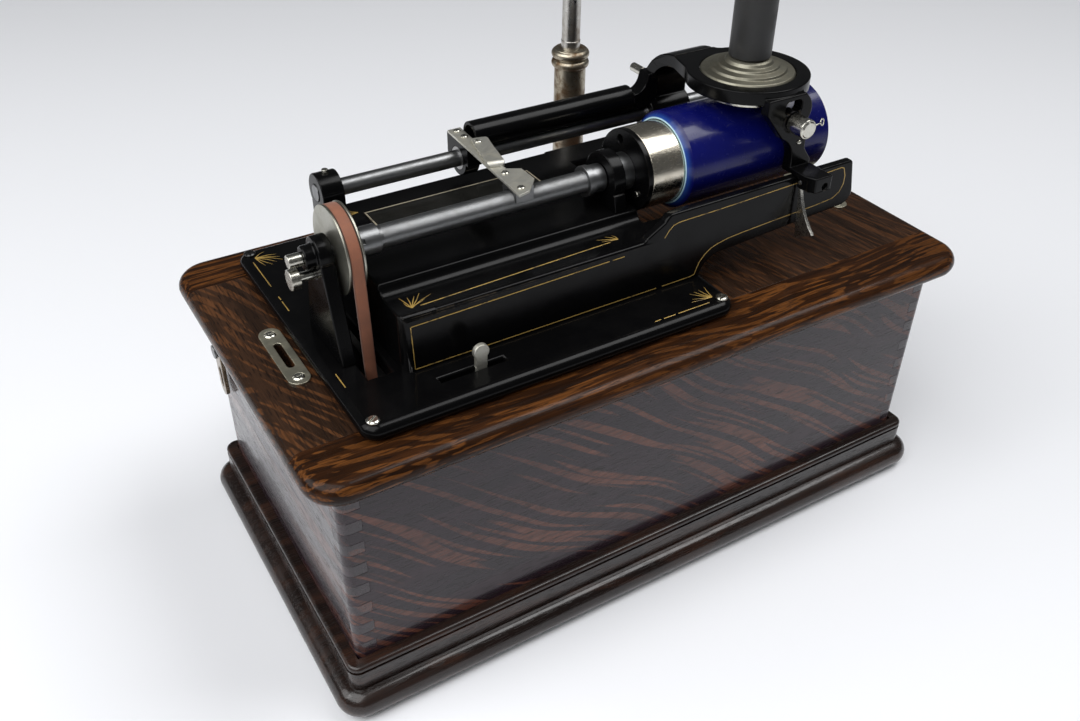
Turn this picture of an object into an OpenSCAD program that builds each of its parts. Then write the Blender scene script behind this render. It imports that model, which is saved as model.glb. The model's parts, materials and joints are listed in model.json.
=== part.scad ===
// Tabletop cylinder phonograph: oak case, cast bedplate, belt-driven mandrel and sliding carriage.
// Millimetres, +Z up, +X along the mandrel to its free end, origin at the centre of the case's underside.

/* [Case] */
// Length of the case walls, left to right
case_l = 410; // [400:1:450]
// Depth of the case walls, front to back
case_d = 207; // [200:1:240]
// Height of the deck's top above the table
deck_top = 177; // [172:1:205]
// Thickness of the case walls
wall_t = 12; // [9:0.5:15]
// Fingers in each corner joint
finger_n = 21; // [15:2:25]
// Thickness of the bottom board
bottom_t = 8; // [6:0.5:12]
// Thickness of the deck boards
deck_t = 15; // [12:0.5:18]
// How far the deck stands past the walls
deck_over = 14.8; // [10:0.2:18]
// Corner radius of the deck, seen from above
deck_corner_r = 20; // [12:1:30]
// How far the bedplate's flange laps over the deck's rails
flange_lap = 14.2; // [12:0.2:16]

/* [Base moulding] */
// How far the moulding stands past the walls
mould_over = 15.5; // [12:0.5:20]
// Height of the moulding
mould_h = 37; // [30:0.5:46]
// Radius of the moulding's round nose
mould_nose_r = 9.5; // [7:0.5:11]
// Width of the step above the nose
mould_step_w = 7; // [5:0.5:9]
// Radius of the bead along the top
mould_bead_r = 2.4; // [1.5:0.1:3]

/* [Cover catch plates] */
// Gap between the plate and the bedplate's flange
catch_gap = 1.75; // [1:0.25:3]
// Place of the plates' middle, front to back
catch_y = -6; // [-20:1:20]
// Length of each plate
catch_l = 57; // [50:1:64]
// Width of each plate
catch_w = 12.5; // [11:0.5:15]
// Thickness of each plate
catch_t = 1.2; // [0.8:0.1:2]
// Length of the slot in each plate
catch_slot_l = 25; // [18:1:28]
// Width of the slot in each plate
catch_slot_w = 4.4; // [3:0.2:6]
// Distance between the two plate screws
catch_screw_gap = 44; // [40:1:46]
// Radius of the plate screw heads
catch_screw_r = 3.4; // [2.5:0.1:4]

/* [Deck hook] */
// Length of the hook strip on the left wall
hook_l = 39; // [34:1:48]
// Width of the hook strip
hook_w = 12; // [9:0.5:15]
// Thickness of the hook strip
hook_t = 2.4; // [1.6:0.2:3.5]
// Gap between the wall and the hook strip
hook_gap = 1.5; // [1:0.25:3]
// Distance of the hook's pivot from the case's back face
hook_in = 17.5; // [14:0.5:24]
// Depth of the hook's pivot below the deck's top
hook_drop = 48; // [44:1:58]
// Radius of the hook's pivot screw
hook_pin_r = 2.2; // [1.6:0.1:3]

/* [Bedplate] */
// Reach of the flange to the left of the housing
flange_left = 36.5; // [35.5:0.5:37.5]
// Reach of the flange to the right of the housing
flange_right = 31; // [29:0.5:33]
// Depth of the flange, front to back
flange_d = 195; // [192:1:200]
// Thickness of the flange
flange_t = 10; // [8:0.5:12]
// Corner radius of the flange
flange_corner_r = 9; // [7:1:14]
// Left end of the raised housing
house_x0 = -147.5; // [-148.5:0.5:-146]
// Length of the raised housing
house_l = 162.5; // [159:0.5:166]
// Front of the housing at its foot
house_y0 = -66; // [-68:0.5:-64]
// Back of the housing at its foot
house_y1 = 55; // [54:0.5:58]
// Lean of the housing's front and back walls
house_draft = 2; // [1:0.5:3]
// Height of the housing's flat top above the deck
house_h = 49; // [48:0.5:50]
// Height of the front ledge above the deck
ledge_h = 43; // [40:0.5:43]
// Width of the front ledge
ledge_w = 20; // [17:0.5:21]
// Wall thickness of the hollow housing
house_wall = 7; // [5:0.5:8]
// Radius of the housing's upright corners
house_corner_r = 8; // [5:0.5:12]
// Radius of the housing's top edges
house_edge_r = 3; // [2:0.5:4]
// Reach of the guide rail past the housing
rail_reach = 146; // [140:0.5:152]
// Thickness of the guide rail
rail_t = 6; // [5:0.5:7]
// Height of the guide rail's top above the deck
rail_h = 56; // [54:0.5:58]
// Height of the guide rail's lower edge above the deck
rail_low = 27; // [24:0.5:32]
// Reach of the rear arm that carries the back rod
arm_reach = 139; // [137:0.5:145]
// Radius of the corner screw heads
bed_screw_r = 3.6; // [3:0.1:4.4]
// Distance of the corner screws from the flange's edges
bed_screw_in = 7; // [6:0.5:9]
// Depth of the data plate, front to back
data_d = 40; // [30:1:46]
// Length of the data plate
data_l = 108; // [90:1:112]
// Thickness of the data plate
data_t = 0.8; // [0.5:0.1:1.2]

/* [Main shaft] */
// Place of the mandrel's axis, front to back
axis_y = -20; // [-21:0.5:-19]
// Height of the mandrel's axis above the deck
axis_h = 65; // [64.5:0.5:67]
// Radius of the shaft's journals
journal_r = 4; // [3.5:0.1:4.6]
// Running clearance round each journal
run_gap = 0.05; // [0.02:0.01:0.09]
// Radius of the feed screw
feed_r = 6.35; // [6:0.05:7]
// Distance of the feed screw's left end from the housing's left end
feed_left = 10.5; // [9.5:0.5:14]
// Distance of the feed screw's right end from the housing's right end
feed_right = 27; // [25:0.5:29]
// Radius of the slotted collar beside the pulley
collar_r = 8; // [7:0.1:9]
// Radius of the stepped collar beside the bearing
step_collar_r = 9; // [8:0.1:10]
// Thickness of the centre bearing
bearing_w = 8; // [6:0.5:9]
// Radius of the centre bearing's ring
bearing_r = 15; // [13:0.5:15.5]
// Radius of the hub between bearing and mandrel
hub_r = 11; // [9:0.5:12]
// Gap between the housing and the mandrel's head disc
head_gap = 2; // [1.8:0.1:3]
// Thickness of the mandrel's head disc
head_t = 3.4; // [2.5:0.1:4]
// Radius of the mandrel at its head
mandrel_r0 = 24.3; // [24:0.1:25]
// Radius of the mandrel at its free end
mandrel_r1 = 22.4; // [21.5:0.1:23]
// Bare length of the mandrel between its head and the record
skirt_l = 25; // [23:0.5:27]
// Length of the mandrel inside the record
mandrel_l = 109; // [105:0.5:112]
// Wall of the mandrel tube
mandrel_wall = 3; // [2:0.1:4]

/* [Record] */
// Length of the record
record_l = 108; // [104:0.5:110]
// Outer radius of the record
record_r = 28.7; // [28:0.1:28.9]
// Width of the bevel at the record's ends
record_bevel = 3.4; // [2.6:0.1:3.6]
// Clearance between record and mandrel
record_gap = 0.35; // [0.3:0.05:0.6]

/* [Pulley and belt] */
// Distance of the belt's middle from the housing
belt_left = 11.25; // [11:0.05:11.8]
// Width of the belt
belt_w = 6.6; // [6:0.1:7]
// Thickness of the belt
belt_t = 1.6; // [1.2:0.1:2]
// Radius of the upper pulley's rim
pulley_r = 21.5; // [20:0.1:22]
// Radius of the upper pulley's side discs
pulley_disc_r = 23.8; // [23:0.1:24.5]
// Thickness of the pulley's side discs
pulley_disc_t = 1.2; // [0.9:0.1:1.4]
// Radius of the lower pulley's rim
drive_r = 14; // [12:0.1:15]
// Gap between belt and pulleys
belt_gap = 0.3; // [0.2:0.05:0.4]

/* [Back rod and carriage] */
// Place of the back rod, front to back
rod_y = 45; // [44.5:0.5:46]
// Height of the back rod above the deck
rod_h = 63.5; // [63:0.5:64.5]
// Radius of the back rod
rod_r = 4.9; // [4.4:0.1:5.2]
// Radius of the rod posts' eyes
eye_r = 11; // [10:0.5:11.5]
// Thickness of the rod posts
post_t = 13; // [10:0.5:14]
// Wall of the carriage bushes
bush_wall = 2; // [1.5:0.1:2.5]
// Distance of the carriage block's left end from the housing's right end
block_in = 72.5; // [71:0.5:74]
// Length of the carriage block
block_l = 9.5; // [8.5:0.5:11]
// Depth of the carriage block
block_d = 26; // [24:0.5:28]
// Radius of the carriage's round cover
cover_r = 8.4; // [8:0.1:8.6]
// Wall of the carriage's round cover
cover_wall = 2.4; // [2:0.1:2.8]
// Height of the round cover's middle above the rod's axis
cover_rise = 12.2; // [12:0.1:13]
// Distance of the carriage's upright from the mandrel's head
upright_in = 60; // [58:0.5:62]
// Width of the carriage's upright
upright_w = 30; // [27:0.5:31]
// Outer radius of the arch between upright and ring
arch_r = 32; // [29:0.5:33]
// Distance of the reproducer's middle from the upright's left side
ring_in = 25; // [24:0.5:26]
// Outer radius of the carriage ring
ring_r = 36.5; // [35.5:0.1:38]
// Height of the ring's top above the mandrel's axis
ring_top = 44.5; // [43:0.5:47]
// Thickness of the ring and its bridge
ring_t = 8; // [7:0.5:8.5]
// Thickness of the carriage's front leg
leg_t = 7; // [5:0.5:7.5]
// Width of the window in the front leg
leg_window_w = 12; // [10:0.5:13]
// Height of the window in the front leg
leg_window_h = 8; // [7:0.5:9]
// Gap between record and front leg
leg_gap = 2.3; // [1.5:0.1:2.8]
// Distance of the foot's left side from the reproducer's middle
foot_in = 8.5; // [7.5:0.5:9]
// Width of the carriage's foot
foot_w = 15.5; // [15:0.5:16.5]
// Width of the foot's front end
foot_end_w = 12.5; // [12:0.5:13]
// Length of the foot in front of the rail
foot_nose = 14; // [13:0.5:16]
// Gap between the foot and the guide rail
foot_gap = 0.5; // [0.3:0.1:0.8]

/* [Half nut] */
// Width of the half-nut spring
spring_w = 8.5; // [7.5:0.5:9]
// Width of the spring's pad over the half nut
pad_w = 17; // [15:0.5:18]
// Thickness of the half-nut spring
spring_t = 1.6; // [1.2:0.1:2]
// Height of the spring's underside above the feed screw's axis
spring_h = 10.4; // [9.8:0.1:11]
// Length of the half nut along the screw
nut_l = 11; // [9:0.5:12]
// Depth of the half nut across the screw
nut_d = 15; // [13:0.5:17]
// Gap between nut and feed screw
nut_gap = 0.35; // [0.3:0.05:0.5]
// Radius of the half nut's screw heads
nut_screw_r = 2.2; // [1.8:0.1:2.6]
// Length of the finger tab
finger_l = 37; // [32:0.5:38]
// Width of the finger tab
finger_w = 10; // [8:0.5:11]

/* [Reproducer] */
// Radius of the reproducer's case
repro_r = 27.8; // [27.2:0.1:28.4]
// Gap between reproducer and ring
repro_gap = 0.4; // [0.3:0.05:0.6]
// Depth of the reproducer's case below the ring's top
repro_depth = 9; // [8.4:0.2:9.4]
// Outer radius of the horn neck
neck_r = 10.4; // [9.8:0.2:10.8]
// Bore radius of the horn neck
neck_bore_r = 7; // [5.6:0.2:7.8]
// Height of the horn neck above the ring's top
neck_h = 16; // [12:0.5:22]
// Outer radius of the rubber connector
connector_r = 12.4; // [12.2:0.1:13]
// Length of the rubber connector
connector_l = 52; // [46:1:60]
// Bore radius at the connector's upper end
connector_bore_r = 9.8; // [9:0.1:10]
// Gap between the reproducer's case and its floating weight
weight_gap = 2; // [1.6:0.1:2.4]
// Radius of the floating weight
weight_r = 24; // [20:0.5:26]
// Thickness of the floating weight
weight_t = 3.2; // [2.5:0.1:3.4]
// Radius of the clamp screw's knob
knob_r = 5.8; // [5:0.1:6.5]
// Length of the clamp screw's knob
knob_l = 12; // [10:0.5:14]

/* [Lift and start levers] */
// Length of the lift lever below its pin
lift_l = 37; // [34:0.5:40]
// Thickness of the lift lever's blade
lift_t = 2; // [1.6:0.1:2.2]
// Radius its outer edge is bent to
lift_bend_r = 45; // [40:1:55]
// Radius of the lift lever's pin
lift_pin_r = 1.3; // [1:0.1:1.5]
// Distance of the start lever's slot from the housing's left end
start_in = 42.5; // [40:0.5:45]
// Place of the start lever, front to back
start_y = -78.5; // [-79.5:0.5:-77]
// Travel of the start lever
start_travel = 20; // [16:0.5:22]
// Height of the start lever's tab above the flange
start_h = 14; // [11:0.5:18]
// Width of the start lever's tab
start_w = 9; // [8:0.5:11]

/* [Motor] */
// Module of the gear teeth
gear_m = 1; // [1:0.01:1.02]
// Teeth on the barrel wheel
barrel_n = 112; // [108:1:114]
// Teeth on the drive pinion
pinion_n = 28; // [26:1:30]
// Teeth on the governor wheel
wheel_n = 60; // [56:1:62]
// Teeth on the governor pinion
gov_n = 15; // [14:1:16]
// Extra distance between meshing arbors
gear_gap = 0.4; // [0.3:0.05:0.5]
// Place of the barrel's axis, front to back
barrel_y = 24; // [22:0.5:26]
// Height of the barrel's axis above the table
barrel_z = 88; // [86:0.5:90]
// Radius of the spring barrel
barrel_r = 40; // [34:0.5:44]
// Length of the spring barrel
barrel_l = 52; // [40:0.5:58]
// Place of the drive arbor, front to back
drive_y = -34; // [-36:0.5:-32]
// Thickness of the motor frame's plates
frame_t = 4; // [3:0.5:5]
// Radius of the winding arbor
arbor_r = 6; // [5:0.1:6.5]
// Radius of the governor disc
disc_r = 22; // [18:0.5:24]
// Thickness of the governor disc
disc_t = 3; // [2:0.2:4]
// Distance of the governor weights from their arbor
gov_swing = 14; // [12:0.5:16]
// Radius of the governor weights
gov_ball_r = 5; // [4:0.2:6]

/* [Crank] */
// Throw of the crank
crank_throw = 70; // [55:1:74]
// Thickness of the crank arm
crank_t = 6; // [4:0.5:8]
// Length of the crank's wooden grip
grip_l = 62; // [45:1:75]
// Largest radius of the crank's wooden grip
grip_r = 11; // [9:0.5:13]
// Turn of the crank at rest, down from the back
crank_turn = 50; // [0:1:90]
// Radius of the wall plate round the crank's hole
rose_r = 17; // [14:0.5:20]
// Thickness of the wall plate round the crank's hole
rose_t = 2; // [1.5:0.1:3]

/* [Horn crane] */
// Place of the crane, left to right
crane_x = 77; // [60:1:90]
// Gap between the deck's back edge and the crane tube
crane_gap = 3; // [2:0.5:6]
// Outer radius of the crane tube
crane_r = 11; // [9.5:0.1:12]
// Radius of the crane's sliding rod
crane_rod_r = 6.6; // [6:0.1:7]
// Lower end of the crane tube above the table
crane_z0 = 52; // [46:1:60]
// Top of the crane tube above the deck
crane_top = 78; // [70:1:84]
// Reach of the crane rod above its tube
crane_reach = 66; // [50:1:90]
// Length of the crane rod inside its tube
crane_in = 130; // [120:1:150]
// Height of each crane bracket
bracket_h = 22; // [16:0.5:28]

/* [Hidden] */
$fn = 64;
eps = 0.01;
nose_steps = 10;

axis_z = deck_top + axis_h;
rod_z = deck_top + rod_h;
house_z = deck_top + house_h;
ledge_z = deck_top + ledge_h;
flange_z = deck_top + flange_t;
rail_z = deck_top + rail_h;
ring_z = axis_z + ring_top;
wall_z0 = 2;
wall_h = deck_top - deck_t - wall_z0;
deck_l = case_l + 2 * deck_over;
deck_d = case_d + 2 * deck_over;
flange_y = -0.75;
house_x1 = house_x0 + house_l;
flange_x0 = house_x0 - flange_left;
flange_x1 = house_x1 + flange_right;
flange_l = flange_x1 - flange_x0;
flange_x = (flange_x0 + flange_x1) / 2;
flange_nose = flange_t / 2;
bed_shank_r = bed_screw_r * 0.55;
bed_slot_turn = 35;
deck_open_x0 = flange_x0 + 9;
deck_open_x1 = flange_x1 - flange_lap;
deck_open_y = flange_d / 2 - flange_lap;
catch_x = catch_gap + catch_w / 2 - flange_x0;
hook_y = case_d / 2 - hook_in;
rail_x1 = house_x1 + rail_reach;
arm_x1 = house_x1 + arm_reach;
feed_x0 = house_x0 + feed_left;
feed_x1 = house_x1 - feed_right;
head_x0 = house_x1 + head_gap;
record_x0 = head_x0 + skirt_l;
mandrel_x1 = record_x0 + mandrel_l;
mandrel_screw_r = 2.2;
mandrel_screw_h = 1.2;
belt_x = house_x0 - belt_left;
rail_y1 = house_y0 + house_draft + rail_t;
rail_y0 = rail_y1 - rail_t;
belt_hole_w = belt_w + 7;
pulley_w = belt_w + 2 * belt_gap + 2 * pulley_disc_t;
bracket_t = 8;
bracket_x1 = belt_x - pulley_w / 2 - 1.6;
bracket_x0 = bracket_x1 - bracket_t;
bearing_x1 = head_x0 - 9;
bearing_x0 = bearing_x1 - bearing_w;
post_x0 = house_x0 + 1.5;
rod_x0 = post_x0 - 0.5;
post_screw_r = 1.8;
rod_x1 = arm_x1;
bush_r = rod_r + bush_wall;
block_x0 = house_x1 - block_in;
block_x1 = block_x0 + block_l;
upright_x0 = head_x0 + upright_in;
ring_x = upright_x0 + ring_in;
foot_x0 = ring_x + foot_in;
start_x = house_x0 + start_in;
block_top = axis_z + spring_h;
cover_z = rod_z + cover_rise;
cover_x1 = upright_x0 - 13;
upright_back = rod_y + 4;
lug_top = axis_z + 26.5;
pin_r = 2.8;
pin_l = 11;
upright_x1 = upright_x0 + upright_w;
leg_y1 = axis_y - record_r - leg_gap;
leg_y0 = leg_y1 - leg_t;
foot_y0 = rail_y0 - foot_nose;
foot_z0 = rail_z + foot_gap;
foot_t = 3.5;
foot_drop = 6;
lift_gap = 0.35;
lift_x0 = foot_x0 + 1.7;
lift_x1 = lift_x0 + lift_t;
lift_y = rail_y0 - 4;
lift_z = foot_z0 - 2;
lift_eye_r = 2.6;
leg_screw_x = ring_x + 4.4;
leg_screw_z = axis_z + 25;
leg_screw_r = 2;
weight_z = ring_z - repro_depth - weight_gap - weight_t / 2;
weight_pin_y = axis_y + weight_r - 5;
weight_pin_r = 1.2;
lug_gap = 9;
lug_t = 2;
stylus_gap = 0.35;
spring_y1 = rod_y + block_d / 2 - 2;
spring_x1 = block_x1 - 1.5;
spring_x0 = spring_x1 - spring_w;
pad_x0 = spring_x0 - 4.5;
spring_top = block_top + spring_t;
finger_t = 1.8;
finger_turn = -13;
frame_x0 = house_x0 - 2.5;
barrel_pitch_r = gear_m * barrel_n / 2;
pinion_pitch_r = gear_m * pinion_n / 2;
wheel_pitch_r = gear_m * wheel_n / 2;
gov_pitch_r = gear_m * gov_n / 2;
drive_dist = barrel_pitch_r + pinion_pitch_r + gear_gap;
drive_z = barrel_z + sqrt(pow(drive_dist, 2) - pow(barrel_y - drive_y, 2));
gov_dist = wheel_pitch_r + gov_pitch_r + gear_gap;
gov_turn = 250;
gov_y = drive_y + gov_dist * cos(gov_turn);
gov_z = drive_z + gov_dist * sin(gov_turn);
gear_w = 8;
barrel_gear_x = frame_x0 + 78;
wheel_x = barrel_gear_x - 14;
barrel_x0 = barrel_gear_x + gear_w + 2;
frame_x1 = barrel_x0 + barrel_l + 12 + frame_t;
plate_y0 = start_y + 4.75;
plate_y1 = deck_open_y - 5;
small_arbor_r = 4;
tab_x = start_x - start_w / 2 - 1;
stem_w = 6;
stem_t = 3;
pivot_r = 2.6;
pivot_boss_l = 6;
lock_z = axis_z - 10.5;
crane_tip_l = 60;
crane_tip_r = crane_rod_r - 0.3;
connector_z = ring_z + 8.5;
brake_gap = 0.4;
disc_x = tab_x - 6 - start_travel - brake_gap - disc_t;
brake_y1 = gov_y - gov_swing - gov_ball_r - 1;
crank_x0 = case_l / 2 + deck_over + 3;
crank_hub_r = 10;
grip_y = barrel_y + crank_throw * cos(crank_turn);
grip_z = barrel_z - crank_throw * sin(crank_turn);
grip_pin_r = 3;
crane_y = case_d / 2 + deck_over + crane_gap + crane_r;
crane_tube_z = deck_top + crane_top;
bead_r = 3.2;
data_x0 = house_x0 + 24;
data_y1 = house_y1 - house_draft - 18;
bolt_r = 5;
motor_top_z = deck_top - 7;
ratchet_n = 18;
ratchet_r = 18;
ratchet_x = frame_x1 + 4;
pawl_y = barrel_y - 28;
pawl_z = barrel_z + ratchet_r + 5.4;
pawl_pin_r = 2;

oak = [0.27, 0.16, 0.09];
japan = [0.06, 0.06, 0.065];
nickel = [0.78, 0.77, 0.73];
steel = [0.62, 0.62, 0.64];
brass = [0.72, 0.58, 0.30];

// Round bar along X
module bar_x(r, x0, x1, y, z) {
    translate([x0, y, z]) rotate([0, 90, 0]) cylinder(r = r, h = x1 - x0);
}

// Round bar along Y
module bar_y(r, y0, y1, x, z) {
    translate([x, y1, z]) rotate([90, 0, 0]) cylinder(r = r, h = y1 - y0);
}

// Round bar along Z
module bar_z(r, z0, z1, x, y) {
    translate([x, y, z0]) cylinder(r = r, h = z1 - z0);
}

// Block between two corners
module block(x0, x1, y0, y1, z0, z1) {
    translate([x0, y0, z0]) cube([x1 - x0, y1 - y0, z1 - z0]);
}

// Outline in the YZ plane, drawn out along X
module along_x(x0, x1) {
    translate([x0, 0, 0]) rotate([90, 0, 90]) linear_extrude(x1 - x0) children();
}

// Outline in the XZ plane, drawn out along Y
module along_y(y0, y1) {
    translate([0, y1, 0]) rotate([90, 0, 0]) linear_extrude(y1 - y0) children();
}

// Rectangle with round corners about the origin
module round_rect(l, d, r) {
    square([l - 2 * r, d], center = true);
    square([l, d - 2 * r], center = true);
    for (sx = [-1, 1], sy = [-1, 1]) translate([sx * (l / 2 - r), sy * (d / 2 - r)]) circle(r);
}

// Stadium about the origin, long in Y
module stadium(l, w) {
    square([w, l - w], center = true);
    for (s = [-1, 1]) translate([0, s * (l - w) / 2]) circle(w / 2);
}

// Section through a slab's edge: inward width w, thickness t, half-round nose
module nose_profile(w, t) {
    polygon(concat([[0, 0]], arc([w - t / 2, t / 2], t / 2, -90, 90, nose_steps), [[0, t]]));
}

// Slab with a half-round nose all round its edge
module nosed_slab(l, d, t, r) {
    for (s = [0, 180]) rotate([0, 0, s]) {
        translate([l / 2 - r, d / 2 - r, 0]) rotate([90, 0, 0]) linear_extrude(d - 2 * r) nose_profile(r, t);
        translate([-l / 2 + r, d / 2 - r, 0]) rotate([90, 0, 90]) linear_extrude(l - 2 * r) nose_profile(r, t);
    }
    for (q = [[1, 1, 0], [-1, 1, 90], [-1, -1, 180], [1, -1, 270]])
        translate([q[0] * (l / 2 - r), q[1] * (d / 2 - r), 0]) rotate([0, 0, q[2]])
            rotate_extrude(angle = 90) nose_profile(r, t);
    translate([-l / 2 + r, -d / 2 + r, 0]) cube([l - 2 * r, d - 2 * r, t]);
}

// Points of an arc about a centre
function arc(c, r, a0, a1, n) = [for (i = [0 : n]) let(a = a0 + (a1 - a0) * i / n)
    [c[0] + r * cos(a), c[1] + r * sin(a)]];

// Low slotted screw head with a rim of height h, axis along Z, seat at z = 0
module screw_head(r, h) {
    slot_w = r * 0.24;
    difference() {
        union() {
            cylinder(r = r, h = h);
            translate([0, 0, h]) cylinder(r1 = r, r2 = r * 0.72, h = r * 0.2);
        }
        translate([-r, -slot_w / 2, h]) cube([2 * r, slot_w, r]);
    }
}

// Spur wheel outline about the origin, with a tooth at the angle turn
module gear_2d(n, turn) {
    pitch = 360 / n;
    root_r = gear_m * (n / 2 - 1.1);
    tip_r = gear_m * (n / 2 + 0.8);
    polygon([for (i = [0 : n - 1]) for (p = [[-0.28, root_r], [-0.1, tip_r], [0.1, tip_r], [0.28, root_r]])
        let(a = turn + (i + p[0]) * pitch) [p[1] * cos(a), p[1] * sin(a)]]);
}

// Case
module mould_profile() {
    intersection() {
        union() {
            translate([mould_over - mould_nose_r, mould_nose_r]) circle(mould_nose_r);
            square([mould_over - mould_nose_r, 2 * mould_nose_r]);
            square([mould_over - mould_nose_r / 2, mould_nose_r / 2]);
            square([mould_step_w, mould_h - 2 * mould_bead_r]);
            translate([mould_step_w - mould_bead_r, mould_h - mould_bead_r]) circle(mould_bead_r);
            translate([0, mould_h - 2 * mould_bead_r])
                square([mould_step_w - mould_bead_r, 2 * mould_bead_r]);
        }
        square([mould_over, mould_h]);
    }
}

module base_moulding() {
    color(oak) {
        for (s = [0, 180]) {
            rotate([0, 0, s]) translate([case_l / 2, case_d / 2, 0]) rotate([90, 0, 0])
                linear_extrude(case_d) mould_profile();
            rotate([0, 0, s]) translate([-case_l / 2, case_d / 2, 0]) rotate([90, 0, 90])
                linear_extrude(case_l) mould_profile();
        }
        for (q = [[1, 1, 0], [-1, 1, 90], [-1, -1, 180], [1, -1, 270]])
            translate([q[0] * case_l / 2, q[1] * case_d / 2, 0]) rotate([0, 0, q[2]])
                rotate_extrude(angle = 90) mould_profile();
    }
}

module bottom_board() {
    inside_l = case_l - 2 * wall_t;
    inside_d = case_d - 2 * wall_t;
    color(oak) translate([-inside_l / 2, -inside_d / 2, 0]) cube([inside_l, inside_d, bottom_t]);
}

// Notches for the fingers of the neighbouring wall at both ends of a wall of length l
module finger_notches(l, first) {
    finger_h = wall_h / finger_n;
    for (i = [first : 2 : finger_n - 1], s = [-1, 1])
        translate([s * (l - wall_t) / 2, 0, wall_z0 + (i + 0.5) * finger_h])
            cube([wall_t + eps, 3 * wall_t, finger_h], center = true);
}

// Wall of length l in the XZ plane, outer face at y = -wall_t
module wall(l, first) {
    difference() {
        translate([-l / 2, -wall_t, wall_z0]) cube([l, wall_t, wall_h]);
        finger_notches(l, first);
    }
}

module front_wall() {
    color(oak) translate([0, -case_d / 2 + wall_t, 0]) wall(case_l, 1);
}

module rear_wall() {
    color(oak) rotate([0, 0, 180]) translate([0, -case_d / 2 + wall_t, 0]) wall(case_l, 1);
}

module left_wall() {
    color(oak) rotate([0, 0, -90]) translate([0, -case_l / 2 + wall_t, 0]) wall(case_d, 0);
}

module right_wall() {
    color(oak) difference() {
        rotate([0, 0, 90]) translate([0, -case_l / 2 + wall_t, 0]) wall(case_d, 0);
        bar_x(arbor_r + 1.5, case_l / 2 - 2 * wall_t, case_l / 2 + wall_t, barrel_y, barrel_z);
    }
}

// The whole deck as one slab, cut into its boards below
module deck_slab() {
    difference() {
        translate([0, 0, deck_top - deck_t]) nosed_slab(deck_l, deck_d, deck_t, deck_corner_r);
        for (s = [-1, 1]) catch_place(s) translate([0, 0, -deck_t]) linear_extrude(deck_t + eps)
            stadium(catch_slot_l, catch_slot_w);
    }
}

module deck_front_rail() {
    color(oak) intersection() {
        deck_slab();
        block(-deck_l, deck_l, -deck_d, -deck_open_y, 0, 2 * deck_top);
    }
}

module deck_rear_rail() {
    color(oak) intersection() {
        deck_slab();
        block(-deck_l, deck_l, deck_open_y, deck_d, 0, 2 * deck_top);
    }
}

module deck_left_end() {
    color(oak) intersection() {
        deck_slab();
        block(-deck_l, deck_open_x0, -deck_open_y, deck_open_y, 0, 2 * deck_top);
    }
}

module deck_right_end() {
    color(oak) intersection() {
        deck_slab();
        block(deck_open_x1, deck_l, -deck_open_y, deck_open_y, 0, 2 * deck_top);
    }
}

module catch_place(s) {
    translate([s * catch_x, catch_y, deck_top]) children();
}

module catch_plates() {
    color(nickel) for (s = [-1, 1]) catch_place(s) linear_extrude(catch_t) difference() {
        stadium(catch_l, catch_w);
        stadium(catch_slot_l, catch_slot_w);
        for (q = [-1, 1]) translate([0, q * catch_screw_gap / 2]) circle(catch_screw_r);
    }
}

module catch_plate_screws() {
    color(nickel) for (s = [-1, 1], q = [-1, 1]) catch_place(s)
        translate([0, q * catch_screw_gap / 2, 0]) screw_head(catch_screw_r, catch_t);
}

module deck_hook() {
    hook_x = -case_l / 2 - hook_gap - hook_t;
    hook_z = deck_top - hook_drop;
    color(steel) along_x(hook_x, hook_x + hook_t) translate([hook_y, hook_z - hook_l / 2 + hook_w / 2])
        difference() {
            stadium(hook_l, hook_w);
            translate([0, hook_l / 2 - hook_w / 2]) circle(hook_pin_r + run_gap);
            translate([0, -hook_w / 2]) stadium(hook_l - 2 * hook_w, hook_w / 3);
        }
}

module deck_hook_screw() {
    hook_z = deck_top - hook_drop;
    face_x = -case_l / 2;
    color(steel) {
        bar_x(hook_pin_r, face_x - hook_gap - hook_t - 0.4, face_x, hook_y, hook_z);
        bar_x(2 * hook_pin_r, face_x - hook_gap + 0.4, face_x, hook_y, hook_z);
        bar_x(2 * hook_pin_r, face_x - hook_gap - hook_t - 2, face_x - hook_gap - hook_t - 0.4, hook_y, hook_z);
    }
}

// Bedplate
module house_profile() {
    lean = house_draft / (house_z - flange_z);
    front_top = house_y0 + (ledge_z - flange_z) * lean;
    back_top = house_y1 - house_draft;
    cove_r = house_z - ledge_z;
    polygon(concat(
        [[house_y0 - lean * flange_nose, flange_z - flange_nose]],
        arc([front_top + house_edge_r, ledge_z - house_edge_r], house_edge_r, 180, 90, 8),
        arc([front_top + ledge_w, house_z], cove_r, 270, 360, 8),
        arc([back_top - house_edge_r, house_z - house_edge_r], house_edge_r, 90, 0, 8),
        [[house_y1 + lean * flange_nose, flange_z - flange_nose]]));
}

module house_hollow() {
    front_top = house_y0 + house_draft + ledge_w + house_wall;
    polygon([[house_y0 + house_wall, 0], [house_y0 + house_wall + house_draft, ledge_z - house_wall],
        [front_top, house_z - house_wall], [house_y1 - house_wall - house_draft, house_z - house_wall],
        [house_y1 - house_wall, 0]]);
}

module rail_profile() {
    bend_x = house_x1 + 6.5;
    bend_r = (rail_z - ledge_z) / 2;
    sweep_r = 17;
    foot_x = flange_x1 - 5;
    low_z = deck_top + rail_low;
    corner_r = 9;
    tip_r = 2;
    polygon(concat(
        [[house_x0 + 20, flange_z - flange_nose], [foot_x, flange_z - flange_nose]],
        arc([foot_x + sweep_r, flange_z - flange_nose], sweep_r, 180, 85, 8),
        arc([rail_x1 - corner_r, low_z + corner_r], corner_r, 270, 355, 8),
        arc([rail_x1 - tip_r - 3, rail_z - tip_r], tip_r, 10, 90, 5),
        arc([bend_x, rail_z - bend_r], bend_r, 90, 160, 6),
        arc([bend_x - 3.2 * bend_r, ledge_z + bend_r / 2], bend_r / 2, 340, 270, 6),
        [[house_x0 + 20, ledge_z]]));
}

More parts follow.
